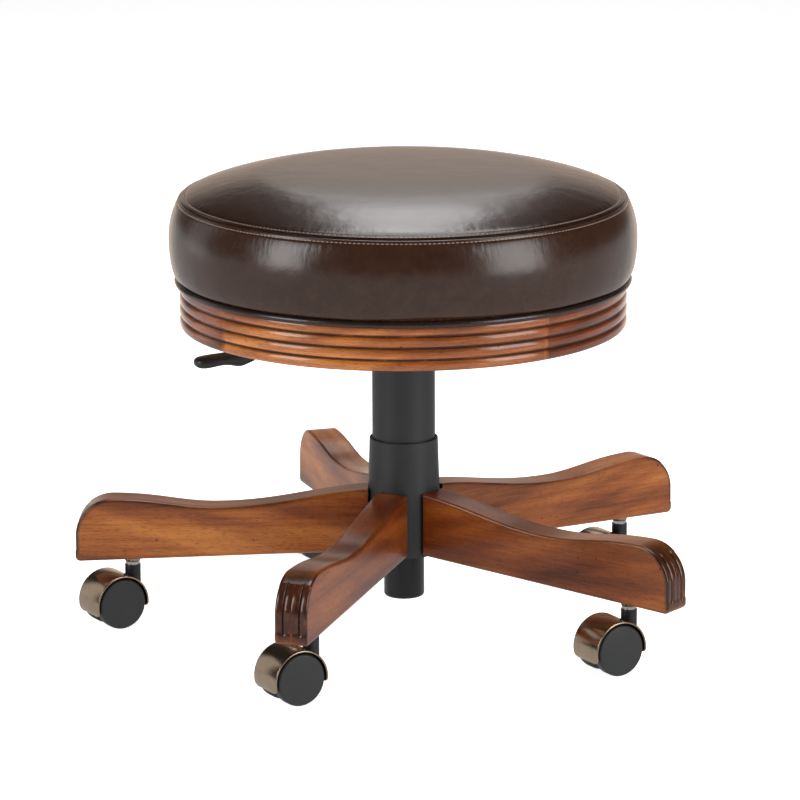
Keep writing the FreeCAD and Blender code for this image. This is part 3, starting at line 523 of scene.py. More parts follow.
def leather(name, deep, pale, puckers):
    """Dressed brown hide, with puckers round the seam of the seat or without."""
    finish, spot = new_finish(name)
    x, y, z = (spot.axis(axis) for axis in "XYZ")
    mottle = spot.noise(70.0, 5.0, 0.7)
    pores = spot.noise(420.0, 2.0, 0.6)
    creases = spot.noise(110.0, 3.0, 0.6)
    folds = spot.noise(30.0, 2.0, 0.5)
    height = pores * 0.7 + creases * 5.5 + folds * 14.0
    if puckers:
        radius = (x * x + y * y).math("SQRT")
        way = y.math("ARCTAN2", x) * SEAM_RADIUS
        gap = (SEAM_RADIUS - radius).math("MAXIMUM", 0.0) + abs(SEAM_LEVEL - z)
        ripple = spot.node("CombineXYZ", {}, {"X": way * 330.0, "Y": gap * 40.0}).noise(1.0, 1.0, 0.5)
        height = height + ripple * gap.rise(PUCKER_REACH, 6 * MM) * 6.0
    close_finish(spot, {
        "Base Color": mottle.over(deep, pale),
        "Roughness": 0.225 + mottle * 0.04,
        "Specular IOR Level": 0.5,
        "Coat Weight": 0.06,
        "Coat Roughness": 0.22,
        "Normal": height.bump(0.06 * MM, 0.55),
    })
    return finish


finishes["seat_leather"] = leather("seat leather", colour(36, 20, 12), colour(65, 41, 28), True)
finishes["piping_leather"] = leather("piping leather", colour(30, 20, 16), colour(52, 36, 30), False)
print("leather finishes ready")

# %% [markdown]
# ## Cushion
# The cushion is foam under a top panel and a side band, sewn together in a drawn-in seam with a row of
# top-stitching on each side. A plain lathed disc would look hard, so the form starts a little small and a
# cloth simulation blows it out against its fixed seam and foot. The drawn-in seam, the puckers and the
# lifted hem come after.

# %% Spin the cushion's form
band_low, band_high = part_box("side_band")
panel_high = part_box("top_panel")[1]
SEAT_RADIUS = band_high.x / MM
FOOT = (222.5, band_low.z / MM)
BULGE = (SEAT_RADIUS, 392.0)
SEAM = (SEAM_RADIUS / MM, SEAM_LEVEL / MM)
CROWN_SWELL = 1.6
CROWN = (0.0, panel_high.z / MM + CROWN_SWELL)
LOWER_PULLS = ((226.5, 361.9), (SEAT_RADIUS, 376.0))
UPPER_PULLS = ((SEAT_RADIUS, 407.0), (225.0, 420.8))
CROWN_PULLS = ((193.0, CROWN[1] - 5), (140.0, CROWN[1]))
FOOT_EASE = 0.5
BASE_RINGS = (0.0, 120.0, 212.0)
# radius, and depth below the foot: the hem tucked in behind the piping, and its outer edge
TUCK = (217.25, 1.9)
TUCK_WIDTH = 0.7
HEM_EDGE = (220.0, 0.4)
CUSHION_STEPS = 144

lower_band = curve((FOOT, BULGE), LOWER_PULLS, 6)
upper_band = curve((BULGE, SEAM), UPPER_PULLS, 9)
crown = curve((SEAM, CROWN), CROWN_PULLS, 26)
foot_wall = (FOOT[0] + 0.6 * FOOT_EASE, FOOT[1] + FOOT_EASE)
outer = np.vstack([lower_band[:1], foot_wall, lower_band[1:], upper_band[1:], crown[1:]])
base = [(radius, FOOT[1]) for radius in BASE_RINGS]
tuck = [(TUCK[0] + side * TUCK_WIDTH / 2, FOOT[1] - TUCK[1]) for side in (-1, 1)]
hem = [(HEM_EDGE[0], FOOT[1] - HEM_EDGE[1]), (FOOT[0] - FOOT_EASE, FOOT[1])]
cushion = spin("cushion", [*base, *tuck, *hem, *outer], CUSHION_STEPS)
close_up()
print("form of", len(cushion.data.vertices), "vertices")


# %% Measure how far a point lies from the seam
FINE_STEPS = 12
POINTS_AT_ONCE = 4000


def from_seam(places):
    """Way along the cover from the seam in millimetres, positive on the top panel."""
    path = np.vstack([upper_band, crown[1:]])
    fine = np.linspace(0, len(path) - 1, FINE_STEPS * len(path))
    path = np.column_stack([np.interp(fine, np.arange(len(path)), path[:, k]) for k in range(2)])
    way = ways(path)
    way -= way[np.argmin(np.linalg.norm(path - SEAM, axis=1))]
    flat = np.column_stack([reach_of(places), places[:, 2]]) / MM
    near = np.concatenate([
        np.argmin(np.linalg.norm(part[:, None] - path[None], axis=2), axis=1)
        for part in np.array_split(flat, 1 + len(flat) // POINTS_AT_ONCE)
    ])
    return way[near]


# %% Blow the cushion out
HEM = 6.0
HELD_FOOT = 4.0
SWELL_CAP = 1.8
TOP_UNEVENNESS = 0.12
BAND_UNEVENNESS = 0.5
PRESSURE = 4.0
LAST_FRAME = 20


def even_out(before, shift):
    """Give every ring of points its mean swelling, and keep a little of each point's own."""
    across = reach_of(before)
    section = np.round(np.column_stack([across, before[:, 2]]), 5)
    rings = np.unique(section, axis=0, return_inverse=True)[1].ravel()
    out = before[:, :2] / np.maximum(across, 1e-9)[:, None]
    parts = np.column_stack([np.sum(shift[:, :2] * out, axis=1), shift[:, 2]])
    share = np.bincount(rings)
    means = np.column_stack([np.bincount(rings, part) / share for part in parts.T])[rings]
    even = np.column_stack([out * means[:, :1], means[:, 1]])
    own = np.where(before[:, 2] > SEAM_LEVEL, TOP_UNEVENNESS, BAND_UNEVENNESS)[:, None]
    return even + own * (shift - even)


def blow_out(piece, held):
    """Swell a closed form under pressure with some of its points held, and cap how far a point moves."""
    before = points_of(piece)
    take(piece)
    group = piece.vertex_groups.new(name="held")
    group.add([int(index) for index in np.flatnonzero(held)], 1.0, "REPLACE")
    bpy.ops.object.modifier_add(type="CLOTH")
    cloth = piece.modifiers[-1]
    cloth.settings.vertex_group_mass = group.name
    cloth.settings.use_pressure = True
    cloth.settings.uniform_pressure_force = PRESSURE
    cloth.settings.effector_weights.gravity = 0
    cloth.point_cache.frame_end = LAST_FRAME
    for number in range(1, LAST_FRAME + 1):
        bpy.context.scene.frame_set(number)
    take(piece)
    bpy.ops.object.modifier_apply(modifier=cloth.name)
    bpy.context.scene.frame_set(1)
    shift = points_of(piece) - before
    reach = np.linalg.norm(shift, axis=1, keepdims=True)
    shift *= np.minimum(1, SWELL_CAP * MM / np.maximum(reach, 1e-9))
    shift = even_out(before, shift)
    move_points(piece, before + shift)
    print("swelled by up to", (np.linalg.norm(shift, axis=1).max() / MM).round(2), "mm")


start = points_of(cushion)
held = (np.abs(from_seam(start)) < HEM) | (start[:, 2] < (FOOT[1] + HELD_FOOT) * MM)
blow_out(cushion, held)
apply_modifier(cushion, "SUBSURF", levels=2, render_levels=2)
swollen = points_of(cushion) / MM
print("crown at", swollen[:, 2].max().round(2), "mm, widest", reach_of(swollen).max().round(2), "mm")

# %% Draw in the seam and pucker the leather
VALLEY_DEPTH = 2.0
VALLEY_WIDTH = 0.8
LIP_HEIGHT = 0.55
LIP_OFFSET = 2.3
LIP_WIDTH = 1.3
ROW_OFFSET = 4.6
ROW_DIP = 0.45
ROW_WIDTH = 0.9
PANEL_DRAW = 1.0
PANEL_DRAW_WIDTH = 3.5
PUCKER_HEIGHT = 0.07
PUCKER_OFFSET = 9.0
PUCKER_WIDTH = 4.5
UNTOUCHED = -60


def ripples(angles, seed):
    """Uneven waves round the seat, the same at each run."""
    dice = np.random.default_rng(seed)
    total = np.zeros_like(angles)
    for count in dice.integers(90, 260, 14):
        total += dice.uniform(0.3, 1.0) * np.sin(count * angles + dice.uniform(0, 2 * math.pi))
    return total / 3


def bell(values, middle, width):
    """A smooth hump."""
    return np.exp(-((values - middle) / width) ** 2)


places = points_of(cushion)
way = from_seam(places)
side = np.abs(way)
angles = angle_of(places)
normals = np.empty(places.size, np.float32)
cushion.data.vertices.foreach_get("normal", normals)
pucker = np.where(way > 0, ripples(angles, 3), ripples(angles, 5))
lift = LIP_HEIGHT * bell(side, LIP_OFFSET, LIP_WIDTH) - VALLEY_DEPTH * bell(side, 0, VALLEY_WIDTH)
lift -= ROW_DIP * bell(side, ROW_OFFSET, ROW_WIDTH)
lift -= PANEL_DRAW * bell(way, ROW_OFFSET, PANEL_DRAW_WIDTH) * (way > 0)
lift += PUCKER_HEIGHT * pucker * bell(side, PUCKER_OFFSET, PUCKER_WIDTH)
lift[way < UNTOUCHED] = 0
move_points(cushion, places + lift[:, None] * MM * normals.reshape(-1, 3))
print("seam drawn in by up to", -lift.min().round(2), "mm")

# %% Lift the hem off the piping
HEM_LIFT = 2.0
HEM_ROOT = 218.5
HEM_FADE = 15.0
# waves round the seat, the way that each one's crest faces in degrees, and its share of the lift
HEM_WAVES = ((2, -84, 0.35), (5, -78, 0.3), (9, -120, 0.2), (14, -60, 0.12))

# the foot of the band rises unevenly, so that it curls over a dark crevice above the piping
places = points_of(cushion) / MM
lift = np.full(len(places), HEM_LIFT)
for count, crest, part in HEM_WAVES:
    lift += HEM_LIFT * part * np.cos(count * (angle_of(places) - math.radians(crest)))
outer_share = np.clip((reach_of(places) - HEM_ROOT) / (FOOT[0] - HEM_ROOT), 0, 1)
foot_share = np.clip(1 - (places[:, 2] - FOOT[1]) / HEM_FADE, 0, 1) ** 2
places[:, 2] += lift * outer_share * foot_share
move_points(cushion, places * MM)
print("hem lifted by", lift.min().round(2), "to", lift.max().round(2), "mm")

# %% Split the cover at the seam
TURNED_EDGE = 7.0

edit(cushion)
seam_side = from_seam(points_of(cushion)) > -0.05
panel_faces = {face.index for face in cushion.data.polygons if all(seam_side[v] for v in face.vertices)}
pick("faces", lambda face: face.index in panel_faces)
bpy.ops.mesh.separate(type="SELECTED")
begin()
split = next(piece for piece in bpy.data.objects if piece.name.startswith("cushion."))
cushion_top = rename(split, "cushion_top")
cushion_band = rename(cushion, "cushion_band")


def turn_under(piece, drop):
    """Turn the open edge of a cover panel under at the seam and close it with a flat backing."""
    edit(piece)
    bpy.ops.mesh.select_mode(type="EDGE")
    bpy.ops.mesh.select_non_manifold()
    bpy.ops.mesh.extrude_region_move(TRANSFORM_OT_translate={"value": (0, 0, drop * MM)})
    shrink = 1 - TURNED_EDGE / SEAM[0]
    bpy.ops.transform.resize(value=(shrink, shrink, 1))
    bpy.ops.mesh.edge_face_add()
    close_up()
    shade(piece, 60)


turn_under(cushion_top, -1.5)
turn_under(cushion_band, -2.5)
for piece, nodes in ((cushion_top, ("top_panel", "foam_pad")), (cushion_band, ("side_band",))):
    fit(piece, "seat_leather", "seat", *nodes)

# %% [markdown]
# A flat glossy top mirrors the two front boxes as white patches when it is seen from behind. In a studio a
# flag would stand between the box and the top; here the top is left out of what these two lights fall on.

# %% Flag the front boxes off the top
flagged = bpy.data.collections.new("flagged")
flagged.objects.link(cushion_top)
flagged.collection_objects[0].light_linking.link_state = "EXCLUDE"
for name in ("left box", "right box"):
    bpy.data.objects[name].light_linking.receiver_collection = flagged
print("front boxes flagged off", cushion_top.name)

# %% [markdown]
# ## Top-stitching
# Two rows of tan thread run round the seat, one on each side of the seam. Each stitch is a short bowed
# thread whose ends dip into the leather. One is modelled, and the spin operator copies it round the column
# axis.

# %% Twisted tan thread
thread, spot = new_finish("stitching thread")
strand = spot.noise(2400.0, 2.0, 0.6)
close_finish(spot, {
    "Base Color": strand.over(colour(124, 98, 82), colour(182, 154, 136)),
    "Roughness": 0.6,
    "Normal": strand.bump(0.05 * MM, 0.6),
})
print("thread finish ready")

# %% Stitch the seam
STITCH_PITCH = 4.4
STITCH_LENGTH = 2.9
THREAD_RADIUS = 0.42
# shares of the thread's radius
THREAD_STAND = 0.55
END_SINK = 0.75


def row_place(offset):
    """Point of the bare cover at a way from the seam, and the direction out of it."""
    path = crown if offset > 0 else upper_band[::-1]
    way = ways(path)
    places = [[np.interp(abs(offset) + more, way, path[:, k]) for k in range(2)] for more in (0, 0.5)]
    spot, ahead = np.array(places)
    along = (ahead - spot) / np.linalg.norm(ahead - spot)
    out = np.array([-along[1], along[0]])
    return spot, out if out[0] > 0 else -out


def stitch_row(name, offset):
    """Model one stitch on the cover and copy it all round."""
    spot, out = row_place(offset)
    dip = ROW_DIP + (PANEL_DRAW if offset > 0 else 0)
    spot = spot + out * (THREAD_RADIUS * THREAD_STAND - dip)
    begin()
    bpy.ops.mesh.primitive_cylinder_add(vertices=6, radius=THREAD_RADIUS * MM, depth=STITCH_LENGTH * MM)
    row = named(name)
    place(row, Matrix.Translation((spot[0] * MM, 0, spot[1] * MM)) @ Matrix.Rotation(math.pi / 2, 4, "X"))
    edit(row)
    pick("edges", lambda edge: abs(edge.verts[0].co.y - edge.verts[1].co.y) > MM)
    bpy.ops.mesh.subdivide(number_cuts=2)
    pick("verts", lambda vert: abs(vert.co.y) > 0.45 * STITCH_LENGTH * MM)
    sink = -END_SINK * THREAD_RADIUS * MM
    bpy.ops.transform.translate(value=(out[0] * sink, 0, out[1] * sink))
    count = round(2 * math.pi * spot[0] / STITCH_PITCH)
    copy_round(count)
    shade(row, 60)
    print(count, "stitches in", name)
    return row


for name, offset in (("stitch_row_upper", ROW_OFFSET), ("stitch_row_lower", -ROW_OFFSET)):
    row = stitch_row(name, offset)
    fit(row, "seat_leather", "seat")
    row.data.materials[0] = thread

# %% [markdown]
# ## Piping
# Under the cushion runs a leather-covered cord. A bevelled curve would give the cord alone, so its section
# is drawn with the narrow tape that is nailed under the seat board, and spun round the column as one closed
# piece.

# %% Spin the piping
pipe_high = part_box("piping")[1]
PIPING_RADIUS = 3.25
PIPING_CIRCLE = pipe_high.x / MM - PIPING_RADIUS
PIPING_LEVEL = pipe_high.z / MM - PIPING_RADIUS
TAPE_WIDTH = 11.0
TAPE_HALF = 0.55
TAPE_ANGLE = math.degrees(math.asin(TAPE_HALF / PIPING_RADIUS))

cord = arc((PIPING_CIRCLE, PIPING_LEVEL), PIPING_RADIUS, -180 + TAPE_ANGLE, 180 - TAPE_ANGLE, 26)
tape_back = PIPING_CIRCLE - TAPE_WIDTH
section = [*cord, (tape_back, PIPING_LEVEL + TAPE_HALF), (tape_back, PIPING_LEVEL - TAPE_HALF)]
piping = spin("piping_cord", [*section, section[0]], 192)
close_up()
shade(piping, 50)
fit(piping, "piping_leather", "seat", "piping")

# %% [markdown]
# ## Wood
# Ring and legs are reddish brown stained hardwood under satin lacquer: fine dark pores along the grain,
# slow bands of lighter and darker figure, a few distressed specks, and edges and grooves darkened by glaze.
# The grain has to follow each piece, so every wooden piece stores its own grain coordinates, how much glaze
# lies at each point, and its batch tone, which on the legs also holds painted shade near the column.


# %% Wood finishes
RIBBON_ANGLE = math.radians(17)


def wood(name, dark, middle, light, sheen):
    """Stained hardwood that reads the piece's grain coordinates, its glaze, and its batch tone with any
    painted shade.
    """
    finish, spot = new_finish(name)
    grain = spot.node("Attribute", {"attribute_name": "grain"}, {}, "Vector")
    glaze = spot.node("Attribute", {"attribute_name": "glaze"}, {}, "Fac")
    batch = spot.node("Attribute", {"attribute_name": "batch"}, {}, "Fac")
    rubbed = grain.stretched(45.0, 160.0, 100.0).noise(1.0, 3.0, 0.6).rise(0.50, 0.68)
    smoke = grain.stretched(6.0, 34.0, 42.0).noise(1.0, 3.0, 0.55, 0.4).rise(0.54, 0.74)
    glaze = glaze * (1.0 - rubbed * 0.42)
    slanted = grain.node("Mapping", {}, {"Vector": grain, "Rotation": (0.0, RIBBON_ANGLE, 0.0)})
    ribbon = slanted.stretched(5.5, 24.0, 40.0).noise(1.0, 1.0, 0.5)
    figure = grain.stretched(2.6, 60.0, 60.0).noise(1.0, 2.0, 0.5, 0.3)
    streaks = grain.stretched(8.0, 420.0, 420.0).noise(1.0, 3.0, 0.7)
    fine = grain.stretched(40.0, 1000.0, 1000.0).noise(1.0, 2.0, 0.6)
    pores = grain.stretched(150.0, 1400.0, 1400.0).noise(1.0, 1.0, 0.5).rise(0.57, 0.67)
    tone = ribbon * 0.38 + figure * 0.30 + streaks * 0.16 + fine * 0.16
    stain = tone.ramp((0.36, dark), (0.50, middle), (0.63, light))
    stain = (pores * 0.42).over(stain, colour(62, 29, 12))
    # the board's batch tone darkens the stain, and on the legs it also paints shade near the column
    stain = batch.over(stain, colour(198, 172, 148), "MULTIPLY")
    stain = (smoke * 0.5).over(stain, colour(150, 118, 104), "MULTIPLY")
    cells = grain.node("TexVoronoi", {"feature": "F1"}, {"Vector": grain, "Scale": 95.0})
    chosen = grain.node("TexVoronoi", {"feature": "F1"}, {"Vector": grain, "Scale": 95.0}, "Color")
    speck = cells.rise(0.16, 0.08) * chosen.axis("X").rise(0.86, 0.9)
    stain = (speck * 0.75).over(stain, colour(24, 12, 8))
    stain = glaze.over(stain, colour(36, 15, 8))
    close_finish(spot, {
        "Base Color": stain,
        "Roughness": 0.36 + streaks * 0.10 - glaze * 0.12,
        "Specular IOR Level": 0.2,
        "Coat Weight": (glaze * 0.4 + sheen).math("MINIMUM", 1.0),
        "Coat Roughness": 0.14,
        "Normal": (streaks * 0.5 - pores * 0.5 - speck).bump(0.05 * MM, 0.5),
    })
    return finish


finishes["leg_wood"] = wood(
    "leg wood", colour(94, 44, 14), colour(150, 82, 30), colour(186, 116, 50), 0.42)
finishes["apron_wood"] = wood(
    "apron wood", colour(92, 44, 16), colour(153, 82, 32), colour(202, 125, 57), 0.95)
print("wood finishes ready")

# %% [markdown]
# ## Apron ring
# The ring under the cushion is glued up from four quarter segments, whose joints show as a change of tone.
# Its face has four reeds with dark glaze in the grooves. One quarter is a reeded section spun through a
# right angle, and the spin operator copies it to the other three. Each segment is cut from another board,
# so its grain and tone differ.

# %% Spin the apron segments
apron_low, apron_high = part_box("apron_ring")
APRON_RADIUS = apron_high.x / MM
APRON_BOTTOM = apron_low.z / MM
APRON_TOP = apron_high.z / MM
APRON_WIDTH = 24.0
APRON_SEGMENTS = 4
APRON_JOINT = 40.0
QUARTER_TURN = 2 * math.pi / APRON_SEGMENTS
REEDS = 4
REED_DEPTH = 2.8
REED_SHARE = 0.92
REED_SQUARENESS = 2.1
REED_SPANS = 14
JOINT_GAP = 0.06

pitch = (APRON_TOP - APRON_BOTTOM) / REEDS
back = APRON_RADIUS - APRON_WIDTH
section = []
# each reed is a flattened round between narrow grooves
for index in range(REEDS):
    for share in np.linspace(-1, 1, REED_SPANS + 1):
        swell = (1 - abs(share) ** REED_SQUARENESS) ** (1 / REED_SQUARENESS)
        level = APRON_BOTTOM + pitch * (index + 0.5 + REED_SHARE * share / 2)
        section.append((APRON_RADIUS - REED_DEPTH * (1 - swell), level))
section += [(back, APRON_TOP), (back, APRON_BOTTOM), section[0]]
apron = spin("apron", section, 56, QUARTER_TURN - JOINT_GAP / APRON_RADIUS)
weld()
for side in (0, 1):
    cap(lambda edge: (edge.verts[0].co.y > 0.5 * edge.verts[0].co.x) == side)
copy_round(APRON_SEGMENTS)
place(apron, Matrix.Rotation(math.radians(APRON_JOINT), 4, "Z"))
print(APRON_SEGMENTS, "apron segments with", REEDS, "reeds each")

# %% Give the apron its grain and glaze
BOARD_SHIFT = np.array([700, 90, 55])
SEGMENT_BATCH = np.array([0.3, 0.85, 0.0, 0.95])
GLAZE_START = 0.28
GLAZE_RUN = 0.4
MOST_GLAZE = 0.95

spots = points_of(apron) / MM
reach = reach_of(spots)
angle = angle_of(spots) - math.radians(APRON_JOINT)
segment = np.floor(np.mod(angle, 2 * math.pi) / QUARTER_TURN + 1e-4)
grain = np.column_stack([angle * APRON_RADIUS, reach, spots[:, 2]]) + segment[:, None] * BOARD_SHIFT
depth = np.clip((APRON_RADIUS - reach) / REED_DEPTH, 0, 1)
glaze = np.clip((depth - GLAZE_START) / GLAZE_RUN, 0, 1) * MOST_GLAZE
glaze[reach <= APRON_RADIUS - REED_DEPTH - 0.1] = 0.0
note(apron, "grain", grain * MM)
note(apron, "glaze", glaze)
note(apron, "batch", SEGMENT_BATCH[segment.astype(int) % APRON_SEGMENTS])
shade(apron, 40)
fit(apron, "apron_wood", "seat", "apron_ring")

# %% [markdown]
# ## Legs
# Each leg is a thick board with a waisted top edge and a rounded end, and the end is cut with four reeds by
# a shaped cutter that runs out in scallops at the top. A boolean cutter leaves poor shading there, so the
# board's outline is drawn once, extruded in thin steps across its thickness, and the rows are then pressed
# in by how deep the cutter goes at each place. The same steps round the long edges.

# %% Draw the leg's outline
leg_low, leg_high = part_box("leg_4")
LEG_TIP = -leg_low.x / MM
LEG_ROOT = -leg_high.x / MM
LEG_HALF = leg_high.y / MM
LEG_SEAT = 67.7
CASTER_CIRCLE = 269.4
UNDERSIDE_SLOPE = 0.038
TIP_ROUND = 37.0
HEEL_ROUND = 5.0
EDGE_ROUND = 2.2
WAIST = 188.0
ROOT_DEPTH = 62.5
WAIST_DEPTH = 49.6
KNEE_DEPTH = 61.6
ROOT_PULL = (50.3, -3.2)
WAIST_PULLS = (-62.5, 34.0)
KNEE_PULL = -44.6
KNEE = LEG_TIP - TIP_ROUND


def underside(reach):
    """Height of a leg's straight underside at a distance from the column."""
    return LEG_SEAT + (CASTER_CIRCLE - reach) * UNDERSIDE_SLOPE


root_top = (LEG_ROOT, underside(LEG_ROOT) + ROOT_DEPTH)
waist_top = (WAIST, underside(WAIST) + WAIST_DEPTH)
knee_top = (KNEE, underside(KNEE) + KNEE_DEPTH)
pivot = (KNEE, knee_top[1] - TIP_ROUND)
heel = (LEG_TIP - HEEL_ROUND, underside(LEG_TIP) + HEEL_ROUND)
root_pull = (LEG_ROOT + ROOT_PULL[0], root_top[1] + ROOT_PULL[1])
inner_pull, outer_pull = ((WAIST + pull, waist_top[1]) for pull in WAIST_PULLS)
top = curve((root_top, waist_top), (root_pull, inner_pull), 26)
rise = curve((waist_top, knee_top), (outer_pull, (KNEE + KNEE_PULL, knee_top[1])), 24)
end = arc(pivot, TIP_ROUND, 90, 0, 44)
face = np.linspace(end[-1], (LEG_TIP, heel[1]), 17)
corner = arc(heel, HEEL_ROUND, 0, -90, 6)
bottom = np.linspace(corner[-1], (LEG_ROOT, underside(LEG_ROOT)), 12)
outline = np.vstack([top, rise[1:], end[1:], face[1:], corner[1:], bottom[1:]])
print("leg outline of", len(outline), "points")

# %% Extrude it across the thickness
LEG_REEDS = 4
REED_PITCH = 2 * LEG_HALF / LEG_REEDS
NEAR_GROOVE = np.array([0, 0.35, 0.7, 1.1, 1.6, 2.3, 3.1, 4.0])

# the steps are thin at the edges and at the grooves
edge = LEG_HALF - EDGE_ROUND + EDGE_ROUND * np.sin(np.radians([0, 22.5, 45, 67.5, 90]))
inner = np.concatenate([NEAR_GROOVE, REED_PITCH - NEAR_GROOVE, REED_PITCH + NEAR_GROOVE])
half = np.unique(np.round(np.concatenate([inner, edge]), 3))
half = half[half >= 0]
columns = np.concatenate([-half[:0:-1], half])
leg = draw("leg", [(x * MM, columns[0] * MM, z * MM) for x, z in outline])
pick_all()
for step in np.diff(columns):
    bpy.ops.mesh.extrude_region_move(TRANSFORM_OT_translate={"value": (0, step * MM, 0)})
begin()
print("leg extruded through", len(columns), "columns")

# %% Reckon how deep the cutter goes
REED_RISE = 2.3
MIDDLE_RISE = 1.85
CUT_DEPTH = 2.9
CUT_TOP = 56.0
CUT_RUN_OUT = 5.0
CUT_FOOT = 7.0


def reed_height(across):
    """How far the reeds rise above the floor of the outer grooves, across the end of a leg."""
    side = np.abs(across)
    share = np.clip(np.abs(np.mod(side, REED_PITCH) / REED_PITCH * 2 - 1), 0, 1)
    share = np.where(side > 1.5 * REED_PITCH, 0, share)
    floor_level = np.where(side < REED_PITCH / 2, MIDDLE_RISE, 0)
    return floor_level + (REED_RISE - floor_level) * (1 - share ** 2) ** 0.5


# along the outline the cutter comes in over the run-out, and out above the foot
turn = np.degrees(np.arctan2(outline[:, 1] - pivot[1], outline[:, 0] - pivot[0]))
from_top = np.where(outline[:, 0] > KNEE, (CUT_TOP - turn) * math.radians(1) * TIP_ROUND, -1)
from_foot = outline[:, 1] - underside(LEG_TIP) - CUT_FOOT
share = np.clip(np.minimum(from_top, from_foot) / CUT_RUN_OUT, 0, 1)
cutter_depth = np.where(outline[:, 0] > KNEE, CUT_DEPTH * np.sin(share * math.pi / 2), 0)
print("cutter goes", cutter_depth.max(), "mm deep")

# %% Press the reeds into the end
END_GLAZE = 0.82
EDGE_GLAZE = 0.25
GROOVE_GLAZE = 0.25
FOOT_GLAZE = 0.35
WORN_EDGE = 0.4
BURNISH_FADE = 16.0

places = points_of(leg) / MM
row = np.argmin(np.linalg.norm(places[:, None, ::2] - outline[None], axis=2), axis=1)
across = np.clip(np.abs(places[:, 1]) - (LEG_HALF - EDGE_ROUND), 0, EDGE_ROUND)
edge_drop = EDGE_ROUND - np.sqrt(EDGE_ROUND ** 2 - across ** 2)
cut = np.maximum(0, cutter_depth[row] - reed_height(places[:, 1]))
along = np.gradient(outline, axis=0)
outward = np.column_stack([-along[:, 1], along[:, 0]])
outward /= np.linalg.norm(outward, axis=1, keepdims=True)
places[:, ::2] -= (edge_drop + cut)[:, None] * outward[row]
move_points(leg, places * MM)
burnish = np.clip((outline[row, 0] - KNEE) / BURNISH_FADE, 0, 1)
foot = np.clip((outline[row, 1] - underside(LEG_TIP)) / CUT_FOOT, 0, 1)
worn = np.where(across > 0.98 * EDGE_ROUND, WORN_EDGE, 1.0)
glaze = END_GLAZE * burnish * worn * (FOOT_GLAZE + (1 - FOOT_GLAZE) * foot)
glaze += GROOVE_GLAZE * np.clip(cut - 1, 0, 1) + EDGE_GLAZE * across / EDGE_ROUND
note(leg, "glaze", np.clip(glaze, 0, MOST_GLAZE))
print("reeds pressed in by up to", cut.max().round(2), "mm")

# %% Close the sides and the root
SIDE_BORDER = 2.4
SIDE_LIMIT = 0.999 * LEG_HALF

# a narrow border on each side holds the edge's glaze
edit(leg)
for side in (-1, 1):
    cap(lambda edge: all(vert.co.y * side > SIDE_LIMIT * MM for vert in edge.verts))
    bpy.ops.mesh.inset(thickness=SIDE_BORDER * MM)
cap(lambda edge: True)
close_up()
places = points_of(leg) / MM
depth = np.min(np.linalg.norm(places[:, None, ::2] - outline[None], axis=2), axis=1)
inner = (np.abs(places[:, 1]) > SIDE_LIMIT) & (depth > EDGE_ROUND + SIDE_BORDER / 2)
layer = leg.data.attributes["glaze"].data
for index in np.flatnonzero(inner):
    layer[int(index)].value = 0.0
note(leg, "grain", points_of(leg))
shade(leg, 32)
print("leg of", len(leg.data.polygons), "faces")

# %% Set out the five legs
LEG_ANGLES = {number: -36 + 72 * (number - 1) for number in range(1, 6)}
GRAIN_SHIFT = np.array([0.61, 0.173, 0.119])
# painted shade: the legs' stain darkens towards the column, under the seat
ROOT_SHADE = 0.7
ROOT_SHADE_END = 120.0
ROOT_SHADE_RUN = 80.0
LEG_BATCH = {1: 0.5, 2: 0.0, 3: 0.15, 4: 0.15, 5: 0.85}
DARKEST_BATCH_AND_SHADE = 1.4

spots = points_of(leg)
# share of the painted shade near the column, added to each leg's batch tone
root_shade_mask = np.clip((ROOT_SHADE_END - spots[:, 0] / MM) / ROOT_SHADE_RUN, 0, 1)
for number, degrees in LEG_ANGLES.items():
    copy = twin(leg, f"wooden_leg_{number}", Matrix.Rotation(math.radians(degrees), 4, "Z"))
    shifted = (spots + number * GRAIN_SHIFT).astype(np.float32)
    copy.data.attributes["grain"].data.foreach_set("vector", shifted.ravel())
    note(copy, "batch", np.clip(LEG_BATCH[number] + ROOT_SHADE * root_shade_mask, 0, DARKEST_BATCH_AND_SHADE))
    fit(copy, "leg_wood", "base", f"leg_{number}")
bpy.data.objects.remove(leg)

# %% [markdown]
# ## Casters
# Each caster has two moulded wheels under a bronze-plated hood, a curved strip of sheet with rolled edges
# and a hole for the collar of the stem. A hood could be cut from a tube, but a rounded section spun round
# the axle gives clean edges that catch the light. The stem turns in a serrated ring under the leg. One of
# each is modelled and copied.

# %% Turn a wheel round its axle
wheel_low, wheel_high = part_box("caster_4_wheel_a")
WHEEL_RADIUS = (wheel_high.z - wheel_low.z) / 2 / MM
WHEEL_INNER = 8.3
WHEEL_OUTER = 20.3
WHEEL_DOME = 0.6
WHEEL_EDGE = 2.2
TRAIL = 22.0
AXLE = Matrix.Translation((TRAIL * MM, 0, WHEEL_RADIUS * MM)) @ Matrix.Rotation(-math.pi / 2, 4, "X")

flat = WHEEL_RADIUS - WHEEL_EDGE
face = [(flat * t, WHEEL_OUTER + WHEEL_DOME * (1 - t ** 2)) for t in np.linspace(0, 1, 9)]
outer_edge = arc((flat, WHEEL_OUTER - WHEEL_EDGE), WHEEL_EDGE, 90, 0, 5)
inner_edge = arc((flat, WHEEL_INNER + WHEEL_EDGE), WHEEL_EDGE, 0, -90, 5)
wheel = spin("wheel", [*face, *outer_edge[1:], *inner_edge, (0, WHEEL_INNER)], 72)
close_up()
shade(wheel, 40)
place(wheel, AXLE)
print("wheel of", len(wheel.data.polygons), "faces")

# %% Curve a hood over both wheels
HOOD_INNER = 27.0
HOOD_WALL = 1.7
HOOD_EDGE = 0.7
HOOD_FRONT = -20.0
HOOD_REAR = 192.0
HOOD_CORNER = 5.0
HOOD_SWEEP = math.radians(HOOD_REAR - HOOD_FRONT)

